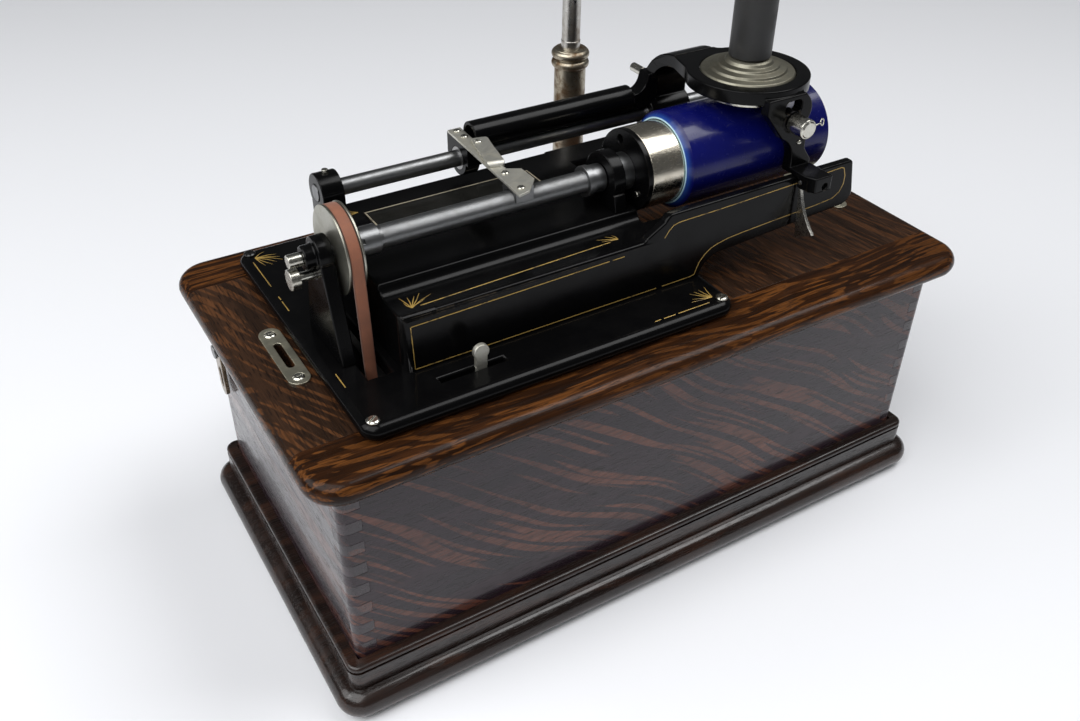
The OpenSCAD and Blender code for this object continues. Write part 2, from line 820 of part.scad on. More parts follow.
module bedplate() {
    corner_l = house_x1 - house_x0;
    corner_d = house_y1 - house_y0 + 2;
    arm_y0 = rod_y - 13;
    arm_z0 = house_z - 30;
    shelf_y1 = axis_y - mandrel_r0;
    color(japan) difference() {
        union() {
            translate([flange_x, flange_y, deck_top])
                nosed_slab(flange_l, flange_d, flange_t, flange_corner_r);
            intersection() {
                along_x(house_x0, house_x1) house_profile();
                translate([house_x0 + corner_l / 2, (house_y0 + house_y1) / 2, deck_top])
                    linear_extrude(2 * house_h) round_rect(corner_l, corner_d, house_corner_r);
            }
            along_y(rail_y0, rail_y1) rail_profile();
            block(house_x1 - house_wall - 1, arm_x1, arm_y0, house_y1 - house_draft, arm_z0, house_z);
            block(house_x1 - house_wall, flange_x1 - flange_nose, rail_y0, shelf_y1,
                flange_z - flange_nose, ledge_z);
        }
        along_x(house_x0 + house_wall, house_x1 - house_wall) house_hollow();
        block(belt_x - belt_hole_w / 2, belt_x + belt_hole_w / 2, axis_y - pulley_r - 18,
            axis_y + pulley_r + 8, 0, flange_z + 1);
        block(tab_x - stem_w / 2 - start_travel - 1, tab_x + stem_w / 2 + 11, start_y - stem_t / 2 - 0.5,
            start_y + stem_t / 2 + 0.5, 0, flange_z + 1);
        bed_screw_places() translate([0, 0, -2 * flange_t]) cylinder(r = bed_shank_r, h = 3 * flange_t);
    }
}

module bed_screw_places() {
    for (sx = [-1, 1], sy = [-1, 1]) translate([flange_x + sx * (flange_l / 2 - bed_screw_in),
        flange_y + sy * (flange_d / 2 - bed_screw_in), flange_z]) children();
}

module bedplate_screws() {
    color(nickel) bed_screw_places() {
        rotate([0, 0, bed_slot_turn]) screw_head(bed_screw_r, bed_screw_r * 0.25);
        translate([0, 0, -flange_t]) cylinder(r = bed_shank_r, h = flange_t + eps);
    }
}

module data_plate() {
    color(brass) block(data_x0, data_x0 + data_l, data_y1 - data_d, data_y1, house_z, house_z + data_t);
}

module pivot_bracket() {
    foot_front = axis_y - 25;
    foot_back = axis_y + 22;
    boss_r = 10;
    color(japan) difference() {
        union() {
            along_x(bracket_x0, bracket_x1) {
                translate([axis_y, axis_z]) circle(boss_r);
                polygon([[foot_front, flange_z], [foot_back, flange_z], [axis_y + boss_r, axis_z - 2],
                    [axis_y - boss_r, axis_z - 2]]);
            }
            bar_x(boss_r * 0.64, bracket_x0 - pivot_boss_l, bracket_x0 + 1, axis_y, axis_z);
        }
        bar_x(journal_r + run_gap, bracket_x0 + 2.5, bracket_x1 + 1, axis_y, axis_z);
        bar_x(pivot_r, bracket_x0 - 2 * pivot_boss_l, bracket_x1, axis_y, axis_z);
        bar_x(pivot_r, bracket_x0 - 1, bracket_x1 + 1, axis_y, lock_z);
    }
}

module pivot_screw() {
    head_x1 = bracket_x0 - pivot_boss_l;
    disc_x0 = bracket_x0 - 14;
    color(nickel) {
        bar_x(pivot_r, head_x1 - 1, bracket_x0 + 2.2, axis_y, axis_z);
        bar_x(pivot_r + 1, head_x1 - 7.5, head_x1, axis_y, axis_z);
        bar_x(pivot_r, disc_x0, bracket_x1, axis_y, lock_z);
        bar_x(pivot_r + 3, disc_x0, disc_x0 + 5, axis_y, lock_z);
    }
}

module centre_bearing() {
    bearing_foot = 17;
    color(japan) difference() {
        along_x(bearing_x0, bearing_x1) {
            translate([axis_y, axis_z]) circle(bearing_r);
            polygon([[axis_y - bearing_foot, house_z], [axis_y + bearing_foot, house_z],
                [axis_y + bearing_r, axis_z - 6], [axis_y - bearing_r, axis_z - 6]]);
        }
        bar_x(journal_r + 1 + run_gap, bearing_x0 - 1, bearing_x1 + 1, axis_y, axis_z);
        block(bearing_x0 - 1, bearing_x1 + 1, axis_y - 2 * bearing_foot, axis_y + 2 * bearing_foot, 0, house_z);
    }
}

module rod_posts() {
    color(japan) for (x0 = [post_x0, arm_x1 - post_t]) difference() {
        along_x(x0, x0 + post_t) {
            translate([rod_y, rod_z]) circle(eye_r);
            translate([rod_y - eye_r, house_z]) square([2 * eye_r - 2.5, rod_z - house_z]);
        }
        bar_x(rod_r, x0 - 1, x0 + post_t + 1, rod_y, rod_z);
        bar_z(post_screw_r, rod_z, rod_z + 2 * eye_r, x0 + post_t / 2, rod_y);
        block(x0 - 1, x0 + post_t + 1, 0, 2 * rod_y, 0, house_z);
    }
}

module post_screws() {
    color(nickel) for (x0 = [post_x0, arm_x1 - post_t])
        bar_z(post_screw_r, rod_z + rod_r, rod_z + eye_r + 2, x0 + post_t / 2, rod_y);
}

module back_rod() {
    color(steel) bar_x(rod_r, rod_x0, rod_x1, rod_y, rod_z);
}

// Main shaft
module main_shaft() {
    color(steel) difference() {
        union() {
            bar_x(journal_r, bracket_x0 + 3, feed_x0, axis_y, axis_z);
            bar_x(collar_r, belt_x + pulley_w / 2, feed_x0 - 1.5, axis_y, axis_z);
            bar_x(feed_r, feed_x0 - 2, feed_x1, axis_y, axis_z);
            bar_x(step_collar_r, feed_x1, feed_x1 + 4, axis_y, axis_z);
            bar_x(step_collar_r - 0.8, feed_x1 + 3, bearing_x0 - 0.4, axis_y, axis_z);
            bar_x(journal_r + 1, feed_x1, head_x0, axis_y, axis_z);
            bar_x(hub_r, bearing_x1 + 0.4, head_x0, axis_y, axis_z);
            bar_x(journal_r + 1, head_x0 - 1, mandrel_x1 - 8, axis_y, axis_z);
        }
        for (a = [0 : 60 : 300]) translate([belt_x + pulley_w / 2 + 2.5, axis_y, axis_z]) rotate([a, 0, 0])
            translate([0, -1.2, collar_r - 1.4]) cube([4, 2.4, 3]);
    }
}

module pulley() {
    half = pulley_w / 2;
    color(nickel) difference() {
        union() {
            bar_x(pulley_r, belt_x - half, belt_x + half, axis_y, axis_z);
            for (x0 = [belt_x - half, belt_x + half - pulley_disc_t])
                bar_x(pulley_disc_r, x0, x0 + pulley_disc_t, axis_y, axis_z);
        }
        bar_x(journal_r, belt_x - half - 1, belt_x + half + 1, axis_y, axis_z);
    }
}

module mandrel_head() {
    color(japan) difference() {
        bar_x(mandrel_r0, head_x0, head_x0 + head_t, axis_y, axis_z);
        bar_x(journal_r + 1, head_x0 - 1, head_x0 + head_t + 1, axis_y, axis_z);
        bar_x(2.6, head_x0 - 1, head_x0 + head_t + 1, axis_y + 6, axis_z + 17);
    }
}

module mandrel_screws() {
    color(nickel) for (a = [215, 290]) translate([head_x0, axis_y, axis_z]) rotate([a, 0, 0])
        translate([0, mandrel_r0 * 0.68, 0]) rotate([0, -90, 0])
            cylinder(r = mandrel_screw_r, h = mandrel_screw_h);
}

// Mandrel's outer radius at x
function mandrel_at(x) = mandrel_r0 + (mandrel_r1 - mandrel_r0) * (x - record_x0) / (mandrel_x1 - record_x0);

module mandrel() {
    skirt_x0 = head_x0 + head_t;
    color(nickel) difference() {
        union() {
            bar_x(mandrel_r0, skirt_x0, record_x0, axis_y, axis_z);
            translate([record_x0, axis_y, axis_z]) rotate([0, 90, 0])
                cylinder(r1 = mandrel_r0, r2 = mandrel_r1, h = mandrel_x1 - record_x0);
        }
        difference() {
            bar_x(mandrel_r1 - mandrel_wall, skirt_x0 - 1, mandrel_x1 - 6, axis_y, axis_z);
            bar_x(journal_r + 5, mandrel_x1 - 20, mandrel_x1, axis_y, axis_z);
        }
        bar_x(journal_r + 1, skirt_x0 - 1, mandrel_x1 - 8, axis_y, axis_z);
    }
}

module record() {
    x1 = record_x0 + record_l;
    bore0 = mandrel_r0 + record_gap;
    bore1 = mandrel_at(x1) + record_gap;
    rim_r = record_r - record_bevel;
    color([0.02, 0.05, 0.35]) translate([record_x0, axis_y, axis_z]) rotate([0, 90, 0]) rotate_extrude()
        polygon([[bore0, 0], [rim_r, 0], [record_r, record_bevel], [record_r, record_l - record_bevel / 2],
            [record_r - record_bevel / 2, record_l], [bore1, record_l]]);
}

// Outline round both pulleys, a distance off their rims
module belt_outline(off) {
    r1 = pulley_r + off;
    r2 = drive_r + off;
    dy = drive_y - axis_y;
    dz = drive_z - axis_z;
    dist = sqrt(dy * dy + dz * dz);
    turn = atan2(dz, dy);
    open = acos((r1 - r2) / dist);
    translate([axis_y, axis_z]) circle(r1);
    translate([drive_y, drive_z]) circle(r2);
    polygon([for (s = [[1, r1, 0], [-1, r1, 0], [-1, r2, 1], [1, r2, 1]])
        let(a = turn + s[0] * open) [axis_y + s[2] * dy + s[1] * cos(a), axis_z + s[2] * dz + s[1] * sin(a)]]);
}

module drive_belt() {
    color([0.36, 0.18, 0.11]) along_x(belt_x - belt_w / 2, belt_x + belt_w / 2) difference() {
        belt_outline(belt_gap + belt_t);
        belt_outline(belt_gap);
    }
}

// Carriage
module carriage_bushes() {
    color(brass) for (x = [[block_x0, block_x1], [upright_x0, upright_x1]]) difference() {
        bar_x(bush_r, x[0], x[1], rod_y, rod_z);
        bar_x(rod_r + run_gap, x[0] - 1, x[1] + 1, rod_y, rod_z);
    }
}

module ring_bridge_2d() {
    bridge_y1 = upright_back - arch_r + 1;
    translate([ring_x, axis_y]) circle(ring_r);
    polygon([[upright_x0, bridge_y1], [upright_x1, bridge_y1], [ring_x + ring_r * 0.8, axis_y + ring_r * 0.6],
        [ring_x - ring_r * 0.9, axis_y + ring_r * 0.3]]);
}

// Arch from the bush up and over to the ring
module upright_profile() {
    bend = [upright_back - arch_r, ring_z - arch_r];
    polygon(concat([[upright_back, rod_z]], arc(bend, arch_r, 0, 90, 12), arc(bend, arch_r - ring_t, 90, 0, 12),
        [[upright_back - ring_t, rod_z]]));
    translate([rod_y, rod_z]) circle(bush_r + 4.5);
}

// Front leg with its window, from the ring down to the foot
module leg_profile() {
    foot_x1 = foot_x0 + foot_w;
    top = ring_z - ring_t / 2;
    waist_r = 17;
    rib_r = 11.5;
    difference() {
        polygon(concat([[ring_x - 15, top], [ring_x - 15, top - 9]],
            arc([foot_x0 - waist_r, foot_z0 + 8], waist_r, 65, 0, 6),
            [[foot_x0, foot_z0], [foot_x1, foot_z0], [foot_x1, foot_z0 + 6], [ring_x + 18, foot_z0 + 14]],
            arc([ring_x + 7, leg_screw_z + 5], rib_r, -30, 50, 6), [[ring_x + 13, top]]));
        translate([ring_x + 4, leg_screw_z + 8.5]) round_rect(leg_window_w, leg_window_h, 3);
    }
}

// Lug beside the upright, swept down to the cover's right end
module lug_profile() {
    sweep_r = 9;
    polygon(concat([[cover_x1, cover_z - cover_r * 0.7], [cover_x1, cover_z + cover_r * 0.5]],
        arc([cover_x1 + 1, cover_z + cover_r * 0.5 + sweep_r], sweep_r, 280, 350, 6),
        [[cover_x1 + sweep_r + 2, lug_top], [upright_x0 + 5, lug_top],
            [upright_x0 + 5, cover_z - cover_r * 0.7]]));
}

// Plan of the foot, narrower at its front end
module foot_2d() {
    foot_x1 = foot_x0 + foot_w;
    polygon([[foot_x0, leg_y1], [foot_x1, leg_y1], [foot_x1, foot_y0], [foot_x1 - foot_end_w, foot_y0],
        [foot_x0, foot_y0 + foot_nose / 2]]);
}

module carriage_arm() {
    foot_x1 = foot_x0 + foot_w;
    color(japan) difference() {
        union() {
            translate([0, 0, ring_z - ring_t]) linear_extrude(ring_t) ring_bridge_2d();
            along_x(upright_x0, upright_x1) upright_profile();
            along_y(rod_y - 6.5, upright_back) lug_profile();
            bar_x(cover_r - cover_wall - run_gap, cover_x1 - 6, cover_x1 + 1, rod_y, cover_z);
            along_y(leg_y0, leg_y1) leg_profile();
            translate([0, 0, foot_z0]) linear_extrude(foot_t) foot_2d();
            intersection() {
                translate([0, 0, foot_z0 - foot_drop]) linear_extrude(foot_drop + 1) foot_2d();
                block(foot_x0, foot_x1, foot_y0, rail_y0 - 1.5, 0, 2 * foot_z0);
            }
            bar_y(knob_r + 0.6, leg_y0 - 0.5, leg_y1, leg_screw_x, leg_screw_z);
        }
        translate([ring_x, axis_y, 0]) cylinder(r = repro_r + repro_gap, h = 3 * ring_z);
        bar_x(bush_r + run_gap, upright_x0 - 1, upright_x1 + 1, rod_y, rod_z);
        bar_y(leg_screw_r, foot_y0 - 1, foot_y0 + 3, foot_x1 - foot_end_w * 0.4, foot_z0 - foot_drop / 2);
        bar_x(lift_pin_r, foot_x0 - 1, lift_x1 + 4, lift_y, lift_z);
        block(lift_x0 - lift_gap, lift_x1 + lift_gap, lift_y - 2 * lift_eye_r, rail_y0, 0, foot_z0 + 1.6);
        bar_y(leg_screw_r + run_gap, leg_y0 - 2, axis_y, leg_screw_x, leg_screw_z);
    }
}

module carriage_cover() {
    color(japan) difference() {
        union() {
            along_x(block_x0, block_x1) {
                translate([rod_y, rod_z]) circle(bush_r + 3.5);
                translate([rod_y - block_d / 2, rod_z - 1]) square([block_d, block_top - rod_z + 1]);
            }
            along_x(block_x1 - 1, cover_x1) difference() {
                translate([rod_y, cover_z]) circle(cover_r);
                translate([rod_y, cover_z]) circle(cover_r - cover_wall);
                translate([rod_y - rod_r, 0]) square([2 * rod_r, cover_z]);
            }
        }
        bar_x(bush_r + run_gap, block_x0 - 1, block_x1 + 1, rod_y, rod_z);
    }
}

module carriage_pin() {
    color(nickel) bar_y(pin_r, upright_back, upright_back + pin_l, upright_x0 + 1, lug_top - pin_r);
}

module half_nut_spring() {
    pad_x1 = pad_x0 + pad_w;
    color(nickel) translate([0, 0, block_top]) linear_extrude(spring_t) polygon([[spring_x0, spring_y1],
        [spring_x1, spring_y1], [spring_x0 + spring_w * 0.6, axis_y + nut_d], [pad_x1, axis_y + nut_d - 4],
        [pad_x1, axis_y - 3], [pad_x1 - pad_w * 0.55, axis_y - nut_d + 1], [pad_x0, axis_y - nut_d - 1]]);
}

module half_nut() {
    nut_x0 = pad_x0 + (pad_w - nut_l) / 2;
    color(steel) difference() {
        block(nut_x0, nut_x0 + nut_l, axis_y - nut_d / 2, axis_y + nut_d / 2, axis_z + 2, block_top);
        bar_x(feed_r + nut_gap, nut_x0 - 1, nut_x0 + nut_l + 1, axis_y, axis_z);
    }
}

// Place of the finger tab's back end, its length along -Y
module finger_place() {
    back_y = rod_y - cover_r - 2;
    translate([block_x1 - 0.5, back_y, spring_top]) rotate([0, 0, finger_turn]) children();
}

module finger_tab() {
    end_r = finger_t * 1.7;
    color(nickel) finger_place() intersection() {
        along_x(-finger_w, finger_w) polygon(concat([[0, 0], [0, finger_t], [-finger_l * 0.35, finger_t]],
            arc([end_r - finger_l, 0], end_r, 90, 180, 6)));
        translate([0, -finger_l / 2, -1]) linear_extrude(4 * finger_t)
            round_rect(finger_w, finger_l, finger_w * 0.2);
    }
}

module half_nut_screws() {
    head_h = nut_screw_r * 0.2;
    color(nickel) {
        for (y = [spring_y1 - 4, spring_y1 - 13]) translate([(spring_x0 + spring_x1) / 2, y, spring_top])
            rotate([0, 0, 35]) screw_head(nut_screw_r, head_h);
        for (p = [[0.37, 0.7], [0.3, -0.6]])
            translate([pad_x0 + p[0] * pad_w, axis_y + p[1] * nut_d, spring_top])
                rotate([0, 0, 70]) screw_head(nut_screw_r, head_h);
        finger_place() translate([-finger_w * 0.2, -finger_l * 0.15, finger_t]) screw_head(nut_screw_r, head_h);
    }
}

// Reproducer
module reproducer_case() {
    base = ring_z - repro_depth;
    color(nickel) difference() {
        union() {
            translate([ring_x, axis_y, 0]) rotate_extrude() polygon(
                [[neck_bore_r, base], [repro_r, base], [repro_r, ring_z - 0.5], [repro_r - 0.8, ring_z + 0.6],
                [repro_r * 0.82, ring_z + 1.2], [repro_r * 0.8, ring_z + 2.6], [repro_r * 0.66, ring_z + 3.4],
                [repro_r * 0.64, ring_z + 4.6], [neck_r + 4, ring_z + 5.2], [neck_r + 3, ring_z + 7],
                [neck_r, connector_z],
                [neck_r, ring_z + neck_h], [neck_bore_r, ring_z + neck_h]]);
            for (s = [-1, 1]) translate([ring_x + s * lug_gap, weight_pin_y, (base + weight_z) / 2])
                cube([lug_t, 5, base - weight_z + 5], center = true);
        }
        bar_x(weight_pin_r + run_gap, ring_x - 2 * lug_gap, ring_x + 2 * lug_gap, weight_pin_y, weight_z);
    }
}

module floating_weight() {
    color(nickel) {
        difference() {
            translate([ring_x, axis_y, weight_z - weight_t / 2]) cylinder(r = weight_r, h = weight_t);
            for (s = [-1, 1]) translate([ring_x + s * lug_gap, weight_pin_y, weight_z])
                cube([lug_t + 1, 7, 3 * weight_t], center = true);
        }
        bar_x(weight_pin_r, ring_x - lug_gap - lug_t, ring_x + lug_gap + lug_t, weight_pin_y, weight_z);
    }
}

module stylus() {
    z1 = weight_z - weight_t / 2;
    tip_z = axis_z + record_r + stylus_gap;
    color(brass) translate([ring_x, axis_y, tip_z]) cylinder(r1 = 0.4, r2 = 1.4, h = z1 - tip_z);
}

module horn_connector() {
    socket_l = 20;
    color([0.05, 0.05, 0.05]) translate([ring_x, axis_y, 0]) difference() {
        translate([0, 0, connector_z]) cylinder(r = connector_r, h = connector_l);
        translate([0, 0, connector_z - 1]) cylinder(r = neck_r, h = ring_z + neck_h - connector_z + 1);
        translate([0, 0, ring_z + neck_h]) cylinder(r = neck_bore_r, h = connector_l);
        translate([0, 0, connector_z + connector_l - socket_l])
            cylinder(r = connector_bore_r, h = socket_l + 1);
    }
}

module leg_screw() {
    knob_y1 = leg_y0 - 1.2;
    color(nickel) {
        bar_y(leg_screw_r, knob_y1 - 1, leg_y1 - 0.4, leg_screw_x, leg_screw_z);
        bar_y(knob_r, knob_y1 - knob_l, knob_y1, leg_screw_x, leg_screw_z);
        bar_y(knob_r * 0.8, knob_y1 - knob_l - 1, knob_y1 - knob_l, leg_screw_x, leg_screw_z);
    }
}

// Flared blade of the lift lever, in front of the rail
module lift_profile() {
    lean = 10;
    flare = 40;
    back = rail_y0 - 1.2;
    bend = [lift_y + 0.6 - lift_bend_r * cos(lean), lift_z - lift_eye_r + lift_bend_r * sin(lean)];
    polygon(concat([[back, lift_z + 0.5], [back - 4, lift_z - lift_l]],
        arc(bend, lift_bend_r, -lean - flare, -lean, 8), [[lift_y + 0.6, lift_z + 0.5]]));
}

module lift_lever() {
    color(nickel) difference() {
        union() {
            along_x(lift_x0, lift_x1) lift_profile();
            bar_x(lift_eye_r, lift_x0, lift_x1, lift_y, lift_z);
        }
        bar_x(lift_pin_r + run_gap, lift_x0 - 1, lift_x1 + 1, lift_y, lift_z);
    }
}

module lift_pin() {
    color(steel) bar_x(lift_pin_r, foot_x0 - 0.3, lift_x1 + 4, lift_y, lift_z);
}

// Start lever
module start_lever() {
    neck_w = start_w - 2.4;
    arm_z0 = gov_z - 4;
    color(nickel) {
        along_y(start_y - stem_t / 2, start_y + stem_t / 2) {
            translate([tab_x, flange_z + start_h - start_w / 2]) circle(start_w / 2);
            translate([tab_x - neck_w / 2, flange_z + 0.4]) square([neck_w, start_h - start_w / 2]);
            translate([tab_x - stem_w / 2, arm_z0]) square([stem_w, flange_z - arm_z0 + 2]);
        }
        block(tab_x - stem_w / 2, tab_x + stem_w / 2, start_y - stem_t / 2, brake_y1, arm_z0, gov_z);
    }
}

module brake_pad() {
    pad_x1 = tab_x - stem_w / 2;
    color([0.35, 0.2, 0.12]) block(pad_x1 - 3, pad_x1, start_y + 2, brake_y1, gov_z - 4, gov_z);
}

// Motor
module motor_frame() {
    side_y0 = drive_y - wheel_pitch_r - 4;
    side_y1 = barrel_y + barrel_pitch_r - 4;
    tie_z = gov_z - disc_r - 8;
    ties = [[gov_y, tie_z], [side_y1 - 6, motor_top_z - 14]];
    color([0.12, 0.12, 0.12]) difference() {
        union() {
            block(frame_x0 - 2, frame_x1 + 2, plate_y0, plate_y1, motor_top_z - frame_t, motor_top_z);
            for (x0 = [frame_x0, frame_x1 - frame_t]) along_x(x0, x0 + frame_t)
                polygon([[side_y0, motor_top_z - eps], [gov_y - 12, gov_z], [gov_y - 8, tie_z - 6],
                    [gov_y + 8, tie_z - 6], [barrel_y, barrel_z - 16], [barrel_y + 16, barrel_z],
                    [side_y1, motor_top_z - 24], [side_y1, motor_top_z - eps]]);
            for (p = ties) bar_x(3.5, frame_x0 + 1, frame_x1 - 1, p[0], p[1]);
            bar_x(pawl_pin_r, frame_x1 - 1, ratchet_x + 5.5, pawl_y, pawl_z);
        }
        bar_x(arbor_r + run_gap, frame_x0 - 1, frame_x1 + 1, barrel_y, barrel_z);
        bar_x(small_arbor_r + run_gap, frame_x0 - 1, frame_x1 + 1, drive_y, drive_z);
        bar_x(small_arbor_r - 1 + run_gap, frame_x0 - 1, frame_x1 + 1, gov_y, gov_z);
    }
}

module motor_bolt_places() {
    for (x = [frame_x0 + bolt_r, frame_x1 - bolt_r], y = [plate_y0 + bolt_r, plate_y1 - bolt_r])
        translate([x, y, 0]) children();
}

module motor_bolts() {
    color(steel) motor_bolt_places() translate([0, 0, motor_top_z])
        cylinder(r = bolt_r, h = deck_top - motor_top_z);
}

module spring_barrel() {
    x1 = barrel_x0 + barrel_l;
    mesh_turn = atan2(drive_z - barrel_z, drive_y - barrel_y);
    color(brass) difference() {
        union() {
            bar_x(barrel_r, barrel_x0, x1, barrel_y, barrel_z);
            bar_x(barrel_r + 2, barrel_x0, barrel_x0 + 3, barrel_y, barrel_z);
            bar_x(barrel_r + 2, x1 - 3, x1, barrel_y, barrel_z);
            translate([0, barrel_y, barrel_z]) along_x(barrel_gear_x, barrel_gear_x + gear_w)
                gear_2d(barrel_n, mesh_turn);
            bar_x(18, barrel_gear_x, barrel_x0 + 1, barrel_y, barrel_z);
        }
        bar_x(arbor_r + run_gap, barrel_gear_x - 1, x1 + 1, barrel_y, barrel_z);
    }
}

module winding_arbor() {
    color(steel) {
        bar_x(arbor_r, frame_x0 - 3, crank_x0 + 14, barrel_y, barrel_z);
        translate([0, barrel_y, barrel_z]) along_x(ratchet_x, ratchet_x + 5)
            polygon([for (i = [0 : ratchet_n - 1], p = [[0, ratchet_r], [0.9, ratchet_r - 3]])
                let(a = (i + p[0]) * 360 / ratchet_n) [p[1] * cos(a), p[1] * sin(a)]]);
    }
}

module ratchet_pawl() {
    color(steel) difference() {
        union() {
            bar_x(5, ratchet_x + 0.5, ratchet_x + 4.5, pawl_y, pawl_z);
            along_x(ratchet_x + 0.5, ratchet_x + 4.5) polygon([
                [pawl_y, pawl_z + 4.6], [pawl_y + 26, pawl_z - 1],
                [pawl_y + 28, pawl_z - 5], [pawl_y, pawl_z - 4.4]]);
        }
        bar_x(pawl_pin_r + run_gap, ratchet_x, ratchet_x + 5, pawl_y, pawl_z);
    }
}

module drive_arbor() {
    mesh_turn = atan2(barrel_z - drive_z, barrel_y - drive_y) + 180 / pinion_n;
    half = pulley_w / 2;
    color(steel) {
        bar_x(small_arbor_r, belt_x - half, frame_x1 + 2, drive_y, drive_z);
        bar_x(drive_r, belt_x - half, belt_x + half, drive_y, drive_z);
        for (x0 = [belt_x - half, belt_x + half - pulley_disc_t])
            bar_x(drive_r + 2.3, x0, x0 + pulley_disc_t, drive_y, drive_z);
        translate([0, drive_y, drive_z]) {
            along_x(barrel_gear_x - 1, barrel_gear_x + gear_w + 1) gear_2d(pinion_n, mesh_turn);
            along_x(wheel_x, wheel_x + gear_w) gear_2d(wheel_n, gov_turn);
        }
    }
}

module governor() {
    mesh_turn = gov_turn + 180 + 180 / gov_n;
    ball_x = frame_x0 + 45;
    color(brass) {
        bar_x(small_arbor_r - 1, frame_x0 - 1, frame_x1 + 1, gov_y, gov_z);
        translate([0, gov_y, gov_z]) along_x(wheel_x - 1, wheel_x + gear_w + 1) gear_2d(gov_n, mesh_turn);
        bar_x(disc_r, disc_x, disc_x + disc_t, gov_y, gov_z);
        for (x0 = [ball_x - 20, ball_x + 12]) bar_x(8, x0, x0 + 5, gov_y, gov_z);
        for (a = [0, 120, 240]) translate([0, gov_y, gov_z]) rotate([a, 0, 0]) {
            bar_x(gov_ball_r, ball_x - 5, ball_x + 5, 0, gov_swing);
            along_y(-2.5, 2.5) polygon([[ball_x - 18, 5], [ball_x - 18, 6.5], [ball_x - 4, gov_swing + 0.8],
                [ball_x + 4, gov_swing + 0.8], [ball_x + 15, 6.5], [ball_x + 15, 5],
                [ball_x + 4, gov_swing - 0.8],
                [ball_x - 4, gov_swing - 0.8]]);
        }
    }
}

// Crank
module crank_arm() {
    color(nickel) difference() {
        union() {
            bar_x(crank_hub_r, crank_x0, crank_x0 + 14, barrel_y, barrel_z);
            translate([0, barrel_y, barrel_z]) rotate([-crank_turn, 0, 0]) {
                along_x(crank_x0 + 14 - crank_t, crank_x0 + 14) {
                    translate([0, -5]) square([crank_throw, 10]);
                    translate([crank_throw, 0]) circle(7);
                }
            }
            bar_x(grip_pin_r, crank_x0 + 8, crank_x0 + 14 + grip_l + 3, grip_y, grip_z);
            bar_x(grip_pin_r + 2, crank_x0 + 14 + grip_l + 0.8, crank_x0 + 14 + grip_l + 3, grip_y, grip_z);
        }
        bar_x(arbor_r, crank_x0 - 1, crank_x0 + 15, barrel_y, barrel_z);
    }
}

module crank_grip() {
    x0 = crank_x0 + 14.5;
    color([0.12, 0.08, 0.06]) translate([x0, grip_y, grip_z]) rotate([0, 90, 0]) rotate_extrude()
        polygon(concat([[grip_pin_r + run_gap, 0], [grip_r * 0.7, 0]],
            [for (i = [0 : 10]) [grip_r * (0.72 + 0.28 * sin(180 * i / 10)), 2 + (grip_l - 4) * i / 10]],
            [[grip_r * 0.7, grip_l], [grip_pin_r + run_gap, grip_l]]));
}

module crank_rose() {
    color(nickel) difference() {
        bar_x(rose_r, case_l / 2, case_l / 2 + rose_t, barrel_y, barrel_z);
        bar_x(arbor_r + 1, case_l / 2 - 1, case_l / 2 + rose_t + 1, barrel_y, barrel_z);
    }
}

// Horn crane
module crane_brackets() {
    wall_y = case_d / 2;
    color(japan) for (z0 = [crane_z0, deck_top - deck_t - bracket_h - 8]) difference() {
        union() {
            bar_z(crane_r + 5, z0, z0 + bracket_h, crane_x, crane_y);
            block(crane_x - 8, crane_x + 8, wall_y, crane_y, z0, z0 + bracket_h);
            block(crane_x - 26, crane_x + 26, wall_y, wall_y + 5, z0, z0 + bracket_h);
        }
        bar_z(crane_r, z0 + (z0 == crane_z0 ? 4 : -1), z0 + bracket_h + 1, crane_x, crane_y);
    }
}

module crane_tube() {
    color(nickel) translate([crane_x, crane_y, 0]) difference() {
        union() {
            translate([0, 0, crane_z0 + 4]) cylinder(r = crane_r, h = crane_tube_z - crane_z0 - 4);
            for (i = [0, 1]) translate([0, 0, crane_tube_z - bead_r - i * 2 * bead_r])
                rotate_extrude() translate([crane_r - 1, 0]) circle(bead_r);
        }
        translate([0, 0, crane_z0 + 8]) cylinder(r = crane_rod_r + run_gap, h = crane_tube_z);
    }
}

module crane_rod() {
    top = crane_tube_z + crane_reach;
    color(nickel) {
        bar_z(crane_rod_r, crane_tube_z - crane_in, top - crane_tip_l, crane_x, crane_y);
        bar_z(crane_tip_r, top - crane_tip_l - 1, top, crane_x, crane_y);
    }
}

base_moulding();
bottom_board();
front_wall();
rear_wall();
left_wall();
right_wall();
deck_front_rail();
deck_rear_rail();
deck_left_end();
deck_right_end();
catch_plates();
catch_plate_screws();
deck_hook();
deck_hook_screw();
bedplate();
bedplate_screws();
data_plate();
pivot_bracket();
pivot_screw();
centre_bearing();
rod_posts();
post_screws();
back_rod();
main_shaft();
pulley();
mandrel_head();
mandrel_screws();
mandrel();
record();
drive_belt();
carriage_bushes();
carriage_arm();
carriage_cover();
carriage_pin();
half_nut_spring();
half_nut();
finger_tab();
half_nut_screws();
reproducer_case();
floating_weight();
stylus();
horn_connector();
leg_screw();
lift_lever();
lift_pin();
start_lever();
brake_pad();
motor_frame();
motor_bolts();
spring_barrel();
winding_arbor();
ratchet_pawl();
drive_arbor();
governor();
crank_arm();
crank_grip();
crank_rose();
crane_brackets();
crane_tube();
crane_rod();
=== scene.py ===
import json
import math
import bpy
from mathutils import Matrix, Vector
from mathutils.bvhtree import BVHTree


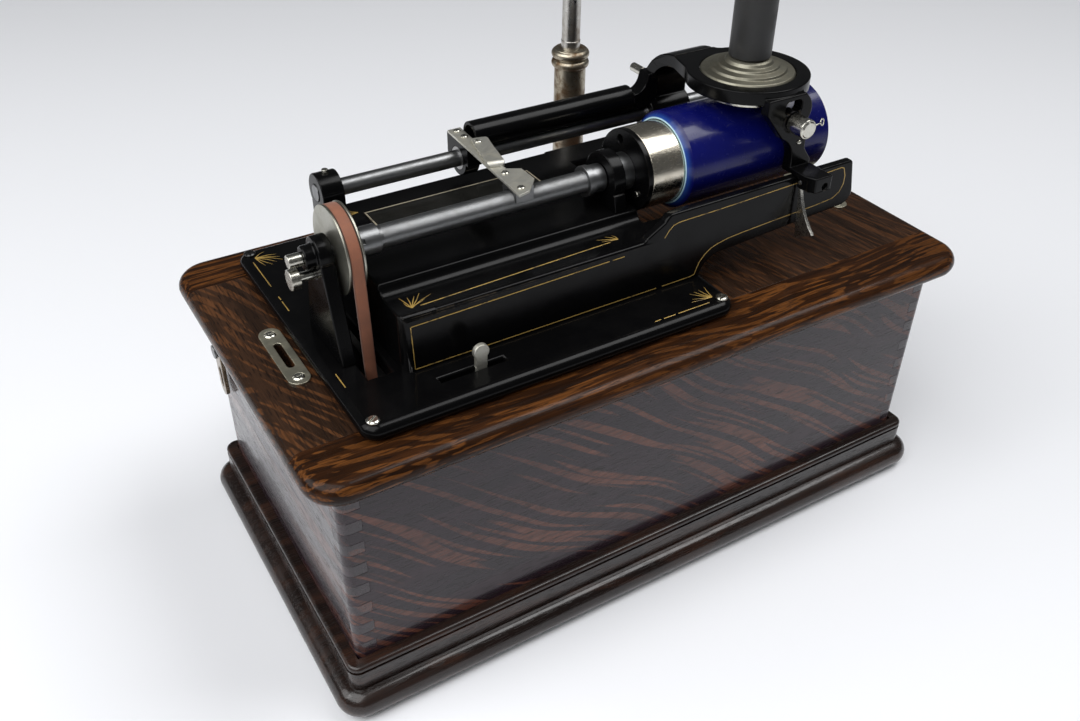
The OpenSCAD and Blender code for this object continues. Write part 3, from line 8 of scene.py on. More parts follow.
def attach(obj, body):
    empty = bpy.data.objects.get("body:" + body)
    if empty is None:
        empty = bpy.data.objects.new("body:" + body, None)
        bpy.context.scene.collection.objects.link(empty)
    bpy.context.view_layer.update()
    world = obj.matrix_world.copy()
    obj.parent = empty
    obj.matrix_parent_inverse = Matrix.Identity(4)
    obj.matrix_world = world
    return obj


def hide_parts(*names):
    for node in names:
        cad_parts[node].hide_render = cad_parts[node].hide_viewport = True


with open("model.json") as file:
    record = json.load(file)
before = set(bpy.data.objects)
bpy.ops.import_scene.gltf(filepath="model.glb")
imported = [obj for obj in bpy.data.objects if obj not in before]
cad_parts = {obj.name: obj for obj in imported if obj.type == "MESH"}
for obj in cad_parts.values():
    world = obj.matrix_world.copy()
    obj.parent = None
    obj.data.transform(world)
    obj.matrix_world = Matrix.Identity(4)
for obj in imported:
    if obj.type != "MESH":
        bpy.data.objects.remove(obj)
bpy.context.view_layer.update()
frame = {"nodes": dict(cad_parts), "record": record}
nodes = frame["nodes"]
slotOf = {p["node"]: p["material_slot"] for p in frame["record"]["subparts"]}
bodyOf = {n: b for b, ns in frame["record"]["behaviour"]["bodies"].items() for n in ns}
scene = bpy.context.scene
scene.view_settings.view_transform = "Standard"
shaftAxis = {"y": -0.020, "z": 0.242}
beltMiddle = -0.15875
print("frame:", len(nodes), "nodes")

# camera, floor and light
photoCamera = {"place": (-0.31395, -0.46537, 0.51464), "turn": -31.746, "tilt": 36.582,
               "roll": 0.841, "lens": 35.0, "sensor": 36.0, "clipStart": 0.01}
studio = {"floorSize": 8.0, "floorHeight": -0.0006, "floorColour": (0.85, 0.86, 0.89, 1),
          "floorRoughness": 0.55, "worldColour": (0.80, 0.82, 0.84, 1), "worldStrength": 0.10}
lamps = [
    {"name": "keyLamp", "place": (-1.3, -0.6, 2.0), "aim": (0.0, 0.0, 0.1), "size": 2.2, "power": 50},
    {"name": "sideLamp", "place": (-1.9, 0.6, 1.5), "aim": (0.0, 0.0, 0.2), "size": 1.4, "power": 18},
    {"name": "topLamp", "place": (1.1, -0.4, 2.3), "aim": (0.1, -0.1, 0.1), "size": 1.4, "power": 33},
]


def pickNothing():
    if bpy.context.object and bpy.context.object.mode != "OBJECT":
        bpy.ops.object.mode_set(mode="OBJECT")
    bpy.ops.object.select_all(action="DESELECT")


def turnMatrix(turn, tilt, roll):
    a, e, r = math.radians(turn), math.radians(tilt), math.radians(roll)
    back = Vector((math.sin(a) * math.cos(e), -math.cos(a) * math.cos(e), math.sin(e)))
    right = Vector((math.cos(a), math.sin(a), 0))
    up = back.cross(right)
    side = right * math.cos(r) + up * math.sin(r)
    head = up * math.cos(r) - right * math.sin(r)
    return Matrix((side, head, back)).transposed()


def setCamera():
    pickNothing()
    bpy.ops.object.camera_add()
    camera = bpy.context.object
    camera.name = "photoCamera"
    camera.data.lens = photoCamera["lens"]
    camera.data.sensor_width = photoCamera["sensor"]
    camera.data.clip_start = photoCamera["clipStart"]
    turned = turnMatrix(photoCamera["turn"], photoCamera["tilt"], photoCamera["roll"])
    camera.matrix_world = Matrix.Translation(photoCamera["place"]) @ turned.to_4x4()
    scene.camera = camera


def setFloor():
    bpy.ops.mesh.primitive_plane_add(size=studio["floorSize"], location=(0, 0, studio["floorHeight"]))
    floor = bpy.context.object
    floor.name = "floor"
    paint = bpy.data.materials.new("paleFloor")
    paint.use_nodes = True
    sockets = paint.node_tree.nodes["Principled BSDF"].inputs
    sockets["Base Color"].default_value = studio["floorColour"]
    sockets["Roughness"].default_value = studio["floorRoughness"]
    floor.data.materials.append(paint)


def setLight():
    for lamp in lamps:
        bpy.ops.object.light_add(type="AREA", location=lamp["place"])
        light = bpy.context.object
        light.name = lamp["name"]
        light.data.shape = "SQUARE"
        light.data.size = lamp["size"]
        light.data.energy = lamp["power"]
        ray = Vector(lamp["aim"]) - Vector(lamp["place"])
        light.rotation_euler = ray.to_track_quat("-Z", "Y").to_euler()
    world = bpy.data.worlds.new("studioWorld")
    world.use_nodes = True
    sockets = world.node_tree.nodes["Background"].inputs
    sockets["Color"].default_value = studio["worldColour"]
    sockets["Strength"].default_value = studio["worldStrength"]
    scene.world = world


setCamera()
setFloor()
setLight()
print("stage set")


# shader helpers: a value is either a plain one or a socket to link
def put(tree, kind, values=None, **settings):
    node = tree.nodes.new("ShaderNode" + kind)
    for key, value in settings.items():
        setattr(node, key, value)
    for key, value in (values or {}).items():
        node.inputs[key].default_value = value
    return node


def join(tree, source, target):
    tree.links.new(source, target)


def feed(tree, value, socket):
    if isinstance(value, bpy.types.NodeSocket):
        join(tree, value, socket)
    else:
        socket.default_value = value


def mixColour(tree, factor, first, second):
    node = put(tree, "Mix", data_type="RGBA")
    for index, value in ((0, factor), (6, first), (7, second)):
        feed(tree, value, node.inputs[index])
    return node.outputs[2]


def sums(tree, operation, first, second, clamp=False):
    node = put(tree, "Math", operation=operation, use_clamp=clamp)
    feed(tree, first, node.inputs[0])
    feed(tree, second, node.inputs[1])
    return node.outputs[0]


def times(tree, first, second, clamp=False):
    return sums(tree, "MULTIPLY", first, second, clamp)


def remap(tree, value, low, high, outLow=0.0, outHigh=1.0):
    node = put(tree, "MapRange", {"From Min": low, "From Max": high, "To Min": outLow, "To Max": outHigh},
               interpolation_type="SMOOTHSTEP")
    join(tree, value, node.inputs["Value"])
    return node.outputs["Result"]


def stretch(tree, vector, scale):
    node = put(tree, "VectorMath", operation="MULTIPLY")
    join(tree, vector, node.inputs[0])
    feed(tree, scale, node.inputs[1])
    return node.outputs[0]


def splitAxes(tree, vector):
    node = put(tree, "SeparateXYZ")
    join(tree, vector, node.inputs[0])
    return node.outputs


def cloud(tree, vector, scale, detail=3.0, rough=0.55, warp=0.0):
    node = put(tree, "TexNoise", {"Scale": scale, "Detail": detail, "Roughness": rough, "Distortion": warp})
    join(tree, vector, node.inputs["Vector"])
    return node.outputs["Fac"]


def newGroup(name, inputs, outputs):
    tree = bpy.data.node_groups.new(name, "ShaderNodeTree")
    for way, sockets in (("INPUT", inputs), ("OUTPUT", outputs)):
        for label, kind in sockets.items():
            tree.interface.new_socket(name=label, in_out=way, socket_type="NodeSocket" + kind)
    return tree, tree.nodes.new("NodeGroupInput"), tree.nodes.new("NodeGroupOutput")


# quartersawn oak: long pores, growth lines and ray flakes across them
oakFigure = {
    "growth": (4, 95, 95), "growthBand": (0.36, 0.66), "growthGloss": (0.3, 0.7, 0.2, 0.3),
    "fibre": (28, 1000, 1000), "fibreFlake": (0.30, 0.55, 0.45, 1.0), "fibreShade": (0.35, 0.7, 0.3, 0.0),
    "pores": (110, 1500, 1500), "poreBand": (0.55, 0.64), "poreShade": 0.8, "poreDull": 0.2,
    "poreColour": (0.006, 0.003, 0.002, 1), "wander": 7.0, "wanderReach": (0.040, 0.040, 0.040),
    "flakeBand": (0.515, 0.585), "flakeRise": 0.15, "patch": 8.0, "patchRange": (0.34, 0.56, 0.55, 1.0),
}


def makeOakGroup():
    look = oakFigure
    tree, given, result = newGroup(
        "oakFigure", {"Grain": "Vector", "Flakes": "Vector", "Flake Scale": "Vector", "Dark": "Color",
                      "Mid": "Color", "Flake Colour": "Color", "Flake Amount": "Float"},
        {"Colour": "Color", "Roughness": "Float", "Height": "Float"})
    grain, flakes = given.outputs["Grain"], given.outputs["Flakes"]
    growth = cloud(tree, stretch(tree, grain, look["growth"]), 1.0, 5, 0.6, 0.2)
    fibre = cloud(tree, stretch(tree, grain, look["fibre"]), 1.0, 3, 0.6)
    pores = remap(tree, cloud(tree, stretch(tree, grain, look["pores"]), 1.0, 2, 0.5), *look["poreBand"])
    wander = put(tree, "TexNoise", {"Scale": look["wander"], "Detail": 1.0})
    join(tree, flakes, wander.inputs["Vector"])
    shift = put(tree, "VectorMath", {1: look["wanderReach"]}, operation="MULTIPLY_ADD")
    join(tree, wander.outputs["Color"], shift.inputs[0])
    join(tree, flakes, shift.inputs[2])
    ribbon = cloud(tree, stretch(tree, shift.outputs[0], given.outputs["Flake Scale"]), 1.0, 0.6, 0.4)
    patch = remap(tree, cloud(tree, flakes, look["patch"], 1), *look["patchRange"])
    mask = times(tree, remap(tree, ribbon, *look["flakeBand"]), patch)
    mask = times(tree, mask, remap(tree, fibre, *look["fibreFlake"]))
    mask = times(tree, mask, given.outputs["Flake Amount"], True)
    wood = mixColour(tree, remap(tree, growth, *look["growthBand"]), given.outputs["Dark"], given.outputs["Mid"])
    wood = mixColour(tree, mask, wood, given.outputs["Flake Colour"])
    wood = mixColour(tree, remap(tree, fibre, *look["fibreShade"]), wood, look["poreColour"])
    wood = mixColour(tree, times(tree, pores, look["poreShade"]), wood, look["poreColour"])
    join(tree, wood, result.inputs["Colour"])
    dull = sums(tree, "ADD", remap(tree, growth, *look["growthGloss"]), times(tree, pores, look["poreDull"]))
    join(tree, dull, result.inputs["Roughness"])
    join(tree, sums(tree, "SUBTRACT", times(tree, mask, look["flakeRise"]), pores), result.inputs["Height"])
    return tree


# bare metal along sharp edges, broken up
wornEdge = {"reach": 0.0008, "samples": 6, "edgeRange": (0.45, 0.8, 1.0, 0.0), "patch": 210.0,
            "patchBand": (0.42, 0.62)}


def makeWearGroup():
    look = wornEdge
    tree, given, result = newGroup("wornEdge", {"Position": "Vector", "Amount": "Float"}, {"Mask": "Float"})
    hollow = put(tree, "AmbientOcclusion", {"Distance": look["reach"]}, inside=True, samples=look["samples"])
    edge = remap(tree, hollow.outputs["AO"], *look["edgeRange"])
    broken = remap(tree, cloud(tree, given.outputs["Position"], look["patch"], 4, 0.6), *look["patchBand"])
    mask = times(tree, times(tree, edge, broken), given.outputs["Amount"], True)
    join(tree, mask, result.inputs["Mask"])
    return tree


# soft grey film where dust settles, thicker on faces that look up
settledDust = {"upRange": (0.3, 1.0, 0.15, 1.0), "film": 45.0, "filmBand": (0.38, 0.72), "filmShare": 0.5,
               "specks": 900.0, "speckBand": (0.66, 0.74)}


def makeDustGroup():
    look = settledDust
    tree, given, result = newGroup("settledDust", {"Position": "Vector", "Facing": "Vector", "Amount": "Float"},
                                   {"Mask": "Float"})
    place = given.outputs["Position"]
    up = remap(tree, splitAxes(tree, given.outputs["Facing"])["Z"], *look["upRange"])
    film = remap(tree, cloud(tree, place, look["film"], 5, 0.65), *look["filmBand"])
    specks = remap(tree, cloud(tree, place, look["specks"], 2, 0.5), *look["speckBand"])
    both = sums(tree, "ADD", times(tree, film, look["filmShare"]), specks, True)
    mask = times(tree, times(tree, up, both), given.outputs["Amount"], True)
    join(tree, mask, result.inputs["Mask"])
    return tree


# blotches and fine handling scratches on bright metal
tarnish = {"blotch": 95.0, "blotchBand": (0.4, 0.72), "specks": 620.0, "speckBand": (0.6, 0.72),
           "scratch": (260, 2600, 900), "scratchRise": 0.2, "scratchGloss": (0.3, 0.7, 0.14, 0.24),
           "stainDull": 0.25}


def makeTarnishGroup():
    look = tarnish
    tree, given, result = newGroup(
        "tarnish", {"Position": "Vector", "Bright": "Color", "Stain": "Color", "Amount": "Float"},
        {"Colour": "Color", "Roughness": "Float", "Height": "Float"})
    place = given.outputs["Position"]
    blotch = remap(tree, cloud(tree, place, look["blotch"], 6, 0.65, 0.4), *look["blotchBand"])
    specks = remap(tree, cloud(tree, place, look["specks"], 3, 0.6), *look["speckBand"])
    stain = times(tree, sums(tree, "MAXIMUM", blotch, specks), given.outputs["Amount"], True)
    scratch = cloud(tree, stretch(tree, place, look["scratch"]), 1.0, 3, 0.7)
    colour = mixColour(tree, stain, given.outputs["Bright"], given.outputs["Stain"])
    join(tree, colour, result.inputs["Colour"])
    dull = sums(tree, "ADD", remap(tree, scratch, *look["scratchGloss"]), times(tree, stain, look["stainDull"]))
    join(tree, dull, result.inputs["Roughness"])
    height = sums(tree, "SUBTRACT", times(tree, scratch, look["scratchRise"]), stain)
    join(tree, height, result.inputs["Height"])
    return tree


oakGroup, wearGroup = makeOakGroup(), makeWearGroup()
dustGroup, tarnishGroup = makeDustGroup(), makeTarnishGroup()


def useGroup(tree, group, values, **links):
    node = tree.nodes.new("ShaderNodeGroup")
    node.node_tree = group
    for key, value in values.items():
        node.inputs[key].default_value = value
    for key, value in links.items():
        join(tree, value, node.inputs[key])
    return node


def newFinish(name, **plain):
    finish = bpy.data.materials.new(name)
    finish.use_nodes = True
    tree = finish.node_tree
    shader = tree.nodes["Principled BSDF"]
    for key, value in plain.items():
        shader.inputs[key.replace("_", " ")].default_value = value
    coords = put(tree, "TexCoord")
    return finish, tree, shader, coords


def bump(tree, shader, height, strength, distance):
    node = put(tree, "Bump", {"Strength": strength, "Distance": distance})
    join(tree, height, node.inputs["Height"])
    join(tree, node.outputs["Normal"], shader.inputs["Normal"])


# oak boards: turns in degrees, one dictionary for each board
oakTones = {
    "deck": {"Dark": (0.015, 0.0062, 0.003, 1), "Mid": (0.045, 0.0162, 0.0056, 1),
             "Flake Colour": (0.140, 0.050, 0.0125, 1)},
    "ends": {"Dark": (0.022, 0.0115, 0.0068, 1), "Mid": (0.046, 0.0225, 0.0125, 1),
             "Flake Colour": (0.14, 0.055, 0.020, 1)},
    # the case tones carry a purple tint that is painted reflection: the pale floor's sheen in the varnish, set
    # into the wood's own colour for all five case boards
    "case": {"Dark": (0.015, 0.0080, 0.0135, 1), "Mid": (0.029, 0.0150, 0.0225, 1),
             "Flake Colour": (0.150, 0.054, 0.034, 1)},
    "mould": {"Dark": (0.009, 0.005, 0.004, 1), "Mid": (0.022, 0.011, 0.008, 1),
              "Flake Colour": (0.05, 0.021, 0.012, 1)},
    "grip": {"Dark": (0.014, 0.007, 0.005, 1), "Mid": (0.032, 0.015, 0.010, 1),
             "Flake Colour": (0.05, 0.02, 0.01, 1)},
}
alongX, alongY = (0, 0, 0), (0, 0, 90)
oakBoards = {
    "base_moulding": {"grain": alongX, "flakes": (0, 0, 8), "scale": (10, 90, 90), "offset": (0.3, 0.1, 0.0),
                      "tone": "mould", "amount": 0.5, "gloss": 0.36},
    "bottom_board": {"grain": alongX, "flakes": (0, 0, 10), "scale": (10, 90, 90), "offset": (0.7, 0.3, 0.0),
                     "tone": "case", "amount": 0.3, "gloss": 0.36},
    "front_wall": {"grain": alongX, "flakes": (0, -36, 0), "scale": (7, 60, 250), "offset": (0.0, 0.0, 0.0),
                   "tone": "case", "amount": 0.95, "gloss": 0.27},
    "rear_wall": {"grain": alongX, "flakes": (0, 33, 0), "scale": (7, 60, 250), "offset": (0.5, 0.2, 0.4),
                  "tone": "case", "amount": 0.8, "gloss": 0.36},
    "left_wall": {"grain": alongY, "flakes": (0, 24, 90), "scale": (9, 85, 85), "offset": (0.2, 0.4, 0.1),
                  "tone": "case", "amount": 0.6, "gloss": 0.40},
    "right_wall": {"grain": alongY, "flakes": (0, -24, 90), "scale": (9, 85, 85), "offset": (0.6, 0.1, 0.3),
                   "tone": "case", "amount": 0.6, "gloss": 0.36},
    "deck_front_rail": {"grain": alongX, "flakes": (0, 0, 5), "scale": (10, 400, 400), "offset": (0.12, 0.0, 0.0),
                        "tone": "deck", "amount": 0.95, "gloss": 0.09},
    "deck_rear_rail": {"grain": alongX, "flakes": (0, 0, -5), "scale": (10, 400, 400), "offset": (0.41, 0.2, 0.0),
                       "tone": "deck", "amount": 0.8, "gloss": 0.09},
    "deck_left_end": {"grain": alongY, "flakes": (0, 0, 62), "scale": (16, 360, 360), "offset": (0.15, 0.33, 0.0),
                      "tone": "ends", "amount": 0.6, "gloss": 0.14},
    "deck_right_end": {"grain": alongY, "flakes": (0, 0, 78), "scale": (16, 380, 380), "offset": (0.44, 0.52, 0.0),
                       "tone": "ends", "amount": 0.45, "gloss": 0.12},
}
gripWood = {"grain": alongX, "flakes": (0, 0, 0), "scale": (10, 90, 90), "offset": (0.1, 0.2, 0.3),
            "tone": "grip", "amount": 0.1, "gloss": 0.4}


def oakFinish(name, board):
    finish, tree, shader, coords = newFinish(name, Specular_IOR_Level=board["gloss"], Coat_Weight=board["gloss"],
                                             Coat_Roughness=0.07)
    turned = {}
    for key in ("grain", "flakes"):
        turn = tuple(math.radians(t) for t in board[key])
        turned[key] = put(tree, "Mapping", {"Location": board["offset"], "Rotation": turn})
        join(tree, coords.outputs["Object"], turned[key].inputs["Vector"])
    values = {"Flake Scale": board["scale"], "Flake Amount": board["amount"], **oakTones[board["tone"]]}
    wood = useGroup(tree, oakGroup, values, Grain=turned["grain"].outputs[0], Flakes=turned["flakes"].outputs[0])
    join(tree, wood.outputs["Colour"], shader.inputs["Base Color"])
    join(tree, wood.outputs["Roughness"], shader.inputs["Roughness"])
    bump(tree, shader, wood.outputs["Height"], 0.2, 0.00015)
    return finish


# black japan: dusty on top, worn to the iron along its edges
japanLook = {"dust": (0.16, 0.15, 0.14, 1), "iron": (0.15, 0.12, 0.085, 1), "ironShare": 0.6, "patch": 70.0,
             "smoother": 0.03, "rougher": 0.05, "dustDull": 0.5, "ripple": 240.0}


def japanFinish(name, base, amount, dusty, rough=0.14):
    look = japanLook
    finish, tree, shader, coords = newFinish(name, Specular_IOR_Level=0.12, Coat_Weight=0.04, Coat_Roughness=0.12)
    place = coords.outputs["Object"]
    wear = useGroup(tree, wearGroup, {"Amount": amount}, Position=place).outputs["Mask"]
    dust = useGroup(tree, dustGroup, {"Amount": dusty}, Position=place,
                    Facing=coords.outputs["Normal"]).outputs["Mask"]
    paint = mixColour(tree, wear, mixColour(tree, dust, base, look["dust"]), look["iron"])
    join(tree, paint, shader.inputs["Base Color"])
    uneven = remap(tree, cloud(tree, place, look["patch"], 4), 0.3, 0.7, rough - look["smoother"],
                   rough + look["rougher"])
    join(tree, sums(tree, "ADD", uneven, times(tree, dust, look["dustDull"]), True), shader.inputs["Roughness"])
    join(tree, times(tree, wear, look["ironShare"]), shader.inputs["Metallic"])
    bump(tree, shader, cloud(tree, place, look["ripple"], 3), 0.04, 0.0003)
    return finish


def brightFinish(name, bright, stain, amount, satin=0.0):
    finish, tree, shader, coords = newFinish(name, Metallic=1.0)
    skin = useGroup(tree, tarnishGroup, {"Bright": bright, "Stain": stain, "Amount": amount},
                    Position=coords.outputs["Object"])
    join(tree, skin.outputs["Colour"], shader.inputs["Base Color"])
    join(tree, sums(tree, "ADD", skin.outputs["Roughness"], satin, True), shader.inputs["Roughness"])
    bump(tree, shader, skin.outputs["Height"], 0.12, 0.0001)
    return finish


# the front corner screws are bright, the back ones are painted over
nickelTone, nickelStain = (0.62, 0.61, 0.55, 1), (0.33, 0.29, 0.21, 1)
screwLook = {"amount": 0.4, "paintFrom": 0.02, "paintTo": 0.03, "paint": (0.006, 0.006, 0.006, 1)}


def cornerScrewFinish():
    look = screwLook
    finish, tree, shader, coords = newFinish("cornerScrews")
    place = coords.outputs["Object"]
    skin = useGroup(tree, tarnishGroup, {"Bright": nickelTone, "Stain": nickelStain, "Amount": look["amount"]},
                    Position=place)
    painted = remap(tree, splitAxes(tree, place)["Y"], look["paintFrom"], look["paintTo"])
    join(tree, mixColour(tree, painted, skin.outputs["Colour"], look["paint"]), shader.inputs["Base Color"])
    join(tree, sums(tree, "SUBTRACT", 1.0, painted), shader.inputs["Metallic"])
    join(tree, skin.outputs["Roughness"], shader.inputs["Roughness"])
    return finish


# cobalt tube with a paler moulded rim and a thin bright line round its mouth
recordLook = {
    "deep": (0.0022, 0.003, 0.062, 1), "light": (0.004, 0.006, 0.11, 1), "depth": 40.0,
    "rim": (0.013, 0.05, 0.24, 1), "rimRange": (0.0425, 0.0450, 1.0, 0.0),
    "line": (0.42, 0.62, 0.72, 1), "lineReach": (0.0254, 0.0258, 1.0, 0.0), "lineEnd": (0.0424, 0.0428, 1.0, 0.0),
    "groove": 620.0, "rub": 300.0, "roughness": (0.3, 0.7, 0.18, 0.28),
}


def recordFinish():
    look = recordLook
    finish, tree, shader, coords = newFinish("cobaltShell", Specular_IOR_Level=0.25, Coat_Weight=0.2,
                                             Coat_Roughness=0.05)
    place = coords.outputs["Object"]
    shell = mixColour(tree, cloud(tree, place, look["depth"], 4), look["deep"], look["light"])
    axes = splitAxes(tree, place)
    across = sums(tree, "SUBTRACT", axes["Y"], shaftAxis["y"])
    upward = sums(tree, "SUBTRACT", axes["Z"], shaftAxis["z"])
    square = sums(tree, "ADD", times(tree, across, across), times(tree, upward, upward))
    reach = sums(tree, "SQRT", square, 0.0)
    shell = mixColour(tree, remap(tree, axes["X"], *look["rimRange"]), shell, look["rim"])
    edge = times(tree, remap(tree, reach, *look["lineReach"]), remap(tree, axes["X"], *look["lineEnd"]))
    join(tree, mixColour(tree, edge, shell, look["line"]), shader.inputs["Base Color"])
    grooves = put(tree, "TexWave", {"Scale": look["groove"], "Distortion": 0.0, "Detail": 0.0},
                  bands_direction="X")
    join(tree, place, grooves.inputs["Vector"])
    join(tree, remap(tree, cloud(tree, place, look["rub"], 3), *look["roughness"]), shader.inputs["Roughness"])
    bump(tree, shader, grooves.outputs["Fac"], 0.05, 0.00005)
    return finish


# belt hide: fibrous, dirty in patches, rubbed dark along both edges
leatherLook = {
    "dark": (0.17, 0.055, 0.028, 1), "light": (0.30, 0.115, 0.06, 1), "fibre": 260.0,
    "dirt": (0.09, 0.035, 0.02, 1), "dirtPatch": 38.0, "dirtBand": (0.4, 0.7), "dirtShare": 0.5,
    "edge": (0.05, 0.02, 0.012, 1), "edgeRange": (0.0024, 0.0034, 0.0, 0.75),
    "roughness": (0.3, 0.7, 0.55, 0.8), "cell": 1400.0,
}


def leatherFinish():
    look = leatherLook
    finish, tree, shader, coords = newFinish("beltHide", Sheen_Weight=0.15)
    place = coords.outputs["Object"]
    fibre = cloud(tree, place, look["fibre"], 6, 0.7)
    dirt = remap(tree, cloud(tree, place, look["dirtPatch"], 4), *look["dirtBand"])
    hide = mixColour(tree, fibre, look["dark"], look["light"])
    hide = mixColour(tree, times(tree, dirt, look["dirtShare"]), hide, look["dirt"])
    offset = sums(tree, "SUBTRACT", splitAxes(tree, place)["X"], beltMiddle)
    rubbed = remap(tree, sums(tree, "ABSOLUTE", offset, 0.0), *look["edgeRange"])
    join(tree, mixColour(tree, rubbed, hide, look["edge"]), shader.inputs["Base Color"])
    join(tree, remap(tree, fibre, *look["roughness"]), shader.inputs["Roughness"])
    cells = put(tree, "TexVoronoi", {"Scale": look["cell"]})
    join(tree, place, cells.inputs["Vector"])
    bump(tree, shader, sums(tree, "ADD", cells.outputs["Distance"], fibre), 0.25, 0.0002)
    return finish


rubberLook = {"black": (0.011, 0.011, 0.011, 1), "bloom": (0.035, 0.034, 0.032, 1), "patch": 70.0,
              "patchBand": (0.4, 0.7), "bloomShare": 0.5, "roughness": (0.42, 0.62), "pore": 900.0}


def rubberFinish():
    look = rubberLook
    finish, tree, shader, coords = newFinish("blackRubber")
    place = coords.outputs["Object"]
    bloom = remap(tree, cloud(tree, place, look["patch"], 5, 0.6), *look["patchBand"])
    colour = mixColour(tree, times(tree, bloom, look["bloomShare"]), look["black"], look["bloom"])
    join(tree, colour, shader.inputs["Base Color"])
    join(tree, remap(tree, bloom, 0.0, 1.0, *look["roughness"]), shader.inputs["Roughness"])
    bump(tree, shader, cloud(tree, place, look["pore"], 3), 0.12, 0.0002)
    return finish


giltLook = {"patch": 130.0, "patchBand": (0.50, 0.66), "metal": (0.35, 0.1), "roughness": (0.38, 0.5)}


def giltFinish(name, fresh, faded):
    look = giltLook
    finish, tree, shader, coords = newFinish(name, Coat_Weight=0.3, Coat_Roughness=0.08)
    worn = remap(tree, cloud(tree, coords.outputs["Object"], look["patch"], 5, 0.7), *look["patchBand"])
    join(tree, mixColour(tree, worn, fresh, faded), shader.inputs["Base Color"])
    join(tree, remap(tree, worn, 0.0, 1.0, *look["metal"]), shader.inputs["Metallic"])
    join(tree, remap(tree, worn, 0.0, 1.0, *look["roughness"]), shader.inputs["Roughness"])
    return finish


# finishes by material slot, or by node where a node has its own
finishes = {
    "japan": japanFinish("japanBlack", (0.0018, 0.0018, 0.002, 1), 0.22, 0.015, 0.20),
    "nickel": brightFinish("nickelPlate", nickelTone, nickelStain, 0.35),
    "steel": brightFinish("groundSteel", (0.23, 0.234, 0.238, 1), (0.16, 0.155, 0.145, 1), 0.35, 0.16),
    "brass": brightFinish("turnedBrass", (0.72, 0.52, 0.22, 1), (0.36, 0.22, 0.08, 1), 0.5),
    "crane_metal": brightFinish("pittedPlate", (0.52, 0.51, 0.48, 1), (0.22, 0.16, 0.10, 1), 0.7, 0.1),
    "crane_tube": brightFinish("rustedPlate", (0.42, 0.38, 0.30, 1), (0.12, 0.065, 0.028, 1), 1.0, 0.15),
    "gilt_plate": japanFinish("plateBlack", (0.008, 0.008, 0.007, 1), 0.2, 0.08),
    "bedplate_screws": cornerScrewFinish(),
    "belt_leather": leatherFinish(),
    "record_shell": recordFinish(),
    "rubber": rubberFinish(),
    "motor_iron": japanFinish("motorIron", (0.03, 0.03, 0.03, 1), 0.6, 0.3, 0.45),
    "grip_wood": oakFinish("grainedGrip", gripWood),
    "catch_plates": brightFinish("dullCatch", (0.66, 0.63, 0.50, 1), (0.52, 0.48, 0.34, 1), 0.45, 0.2),
    "reproducer_case": brightFinish("dullNickel", (0.26, 0.25, 0.20, 1), (0.14, 0.125, 0.09, 1), 0.6, 0.26),
    "mandrel": brightFinish("warmNickel", (0.70, 0.65, 0.545, 1), (0.40, 0.34, 0.23, 1), 0.25, 0.02),
    "pulley": brightFinish("satinNickel", (0.40, 0.395, 0.34, 1), (0.27, 0.25, 0.19, 1), 0.4, 0.14),
    "half_nut_spring": brightFinish("paleNickel", (0.66, 0.65, 0.59, 1), (0.42, 0.38, 0.27, 1), 0.4, 0.3),
    "carriage_bushes": brightFinish("bushSteel", (0.40, 0.40, 0.40, 1), (0.22, 0.2, 0.17, 1), 0.4, 0.15),
    "lift_lever": brightFinish("leverNickel", (0.82, 0.80, 0.74, 1), (0.50, 0.46, 0.36, 1), 0.3, 0.06),
    "deck_hook": brightFinish("brownedSteel", (0.26, 0.21, 0.15, 1), (0.09, 0.06, 0.035, 1), 0.9),
}
finishes["finger_tab"] = finishes["start_lever"] = finishes["half_nut_spring"]
giltPaint = giltFinish("giltLine", (0.46, 0.30, 0.075, 1), (0.10, 0.065, 0.02, 1))
creamPaint = giltFinish("creamLine", (0.42, 0.37, 0.27, 1), (0.13, 0.11, 0.08, 1))
for boardName, board in oakBoards.items():
    finishes[boardName] = oakFinish(boardName.replace("_", "") + "Oak", board)
print("finishes made:", len(finishes))


# shape helpers
def pickOnly(piece):
    pickNothing()
    bpy.context.view_layer.objects.active = piece
    piece.select_set(True)


def editAll():
    bpy.ops.object.mode_set(mode="EDIT")
    bpy.ops.mesh.select_all(action="SELECT")


def editDone():
    bpy.ops.object.mode_set(mode="OBJECT")


def smooth(degrees):
    bpy.ops.object.shade_smooth_by_angle(angle=math.radians(degrees))


def useModifier(piece, kind, **settings):
    pickOnly(piece)
    change = piece.modifiers.new("shape", kind)
    for key, value in settings.items():
        setattr(change, key, value)
    bpy.ops.object.modifier_apply(modifier="shape")


def dress(piece, finish):
    piece.data.materials.clear()
    piece.data.materials.append(finish)


def settle(piece, name, body, slotName, finish, *covered):
    pickOnly(piece)
    bpy.ops.object.transform_apply(location=True, rotation=True, scale=True)
    piece.name = name
    dress(piece, finish)
    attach(piece, body)
    if covered:
        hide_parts(*covered)


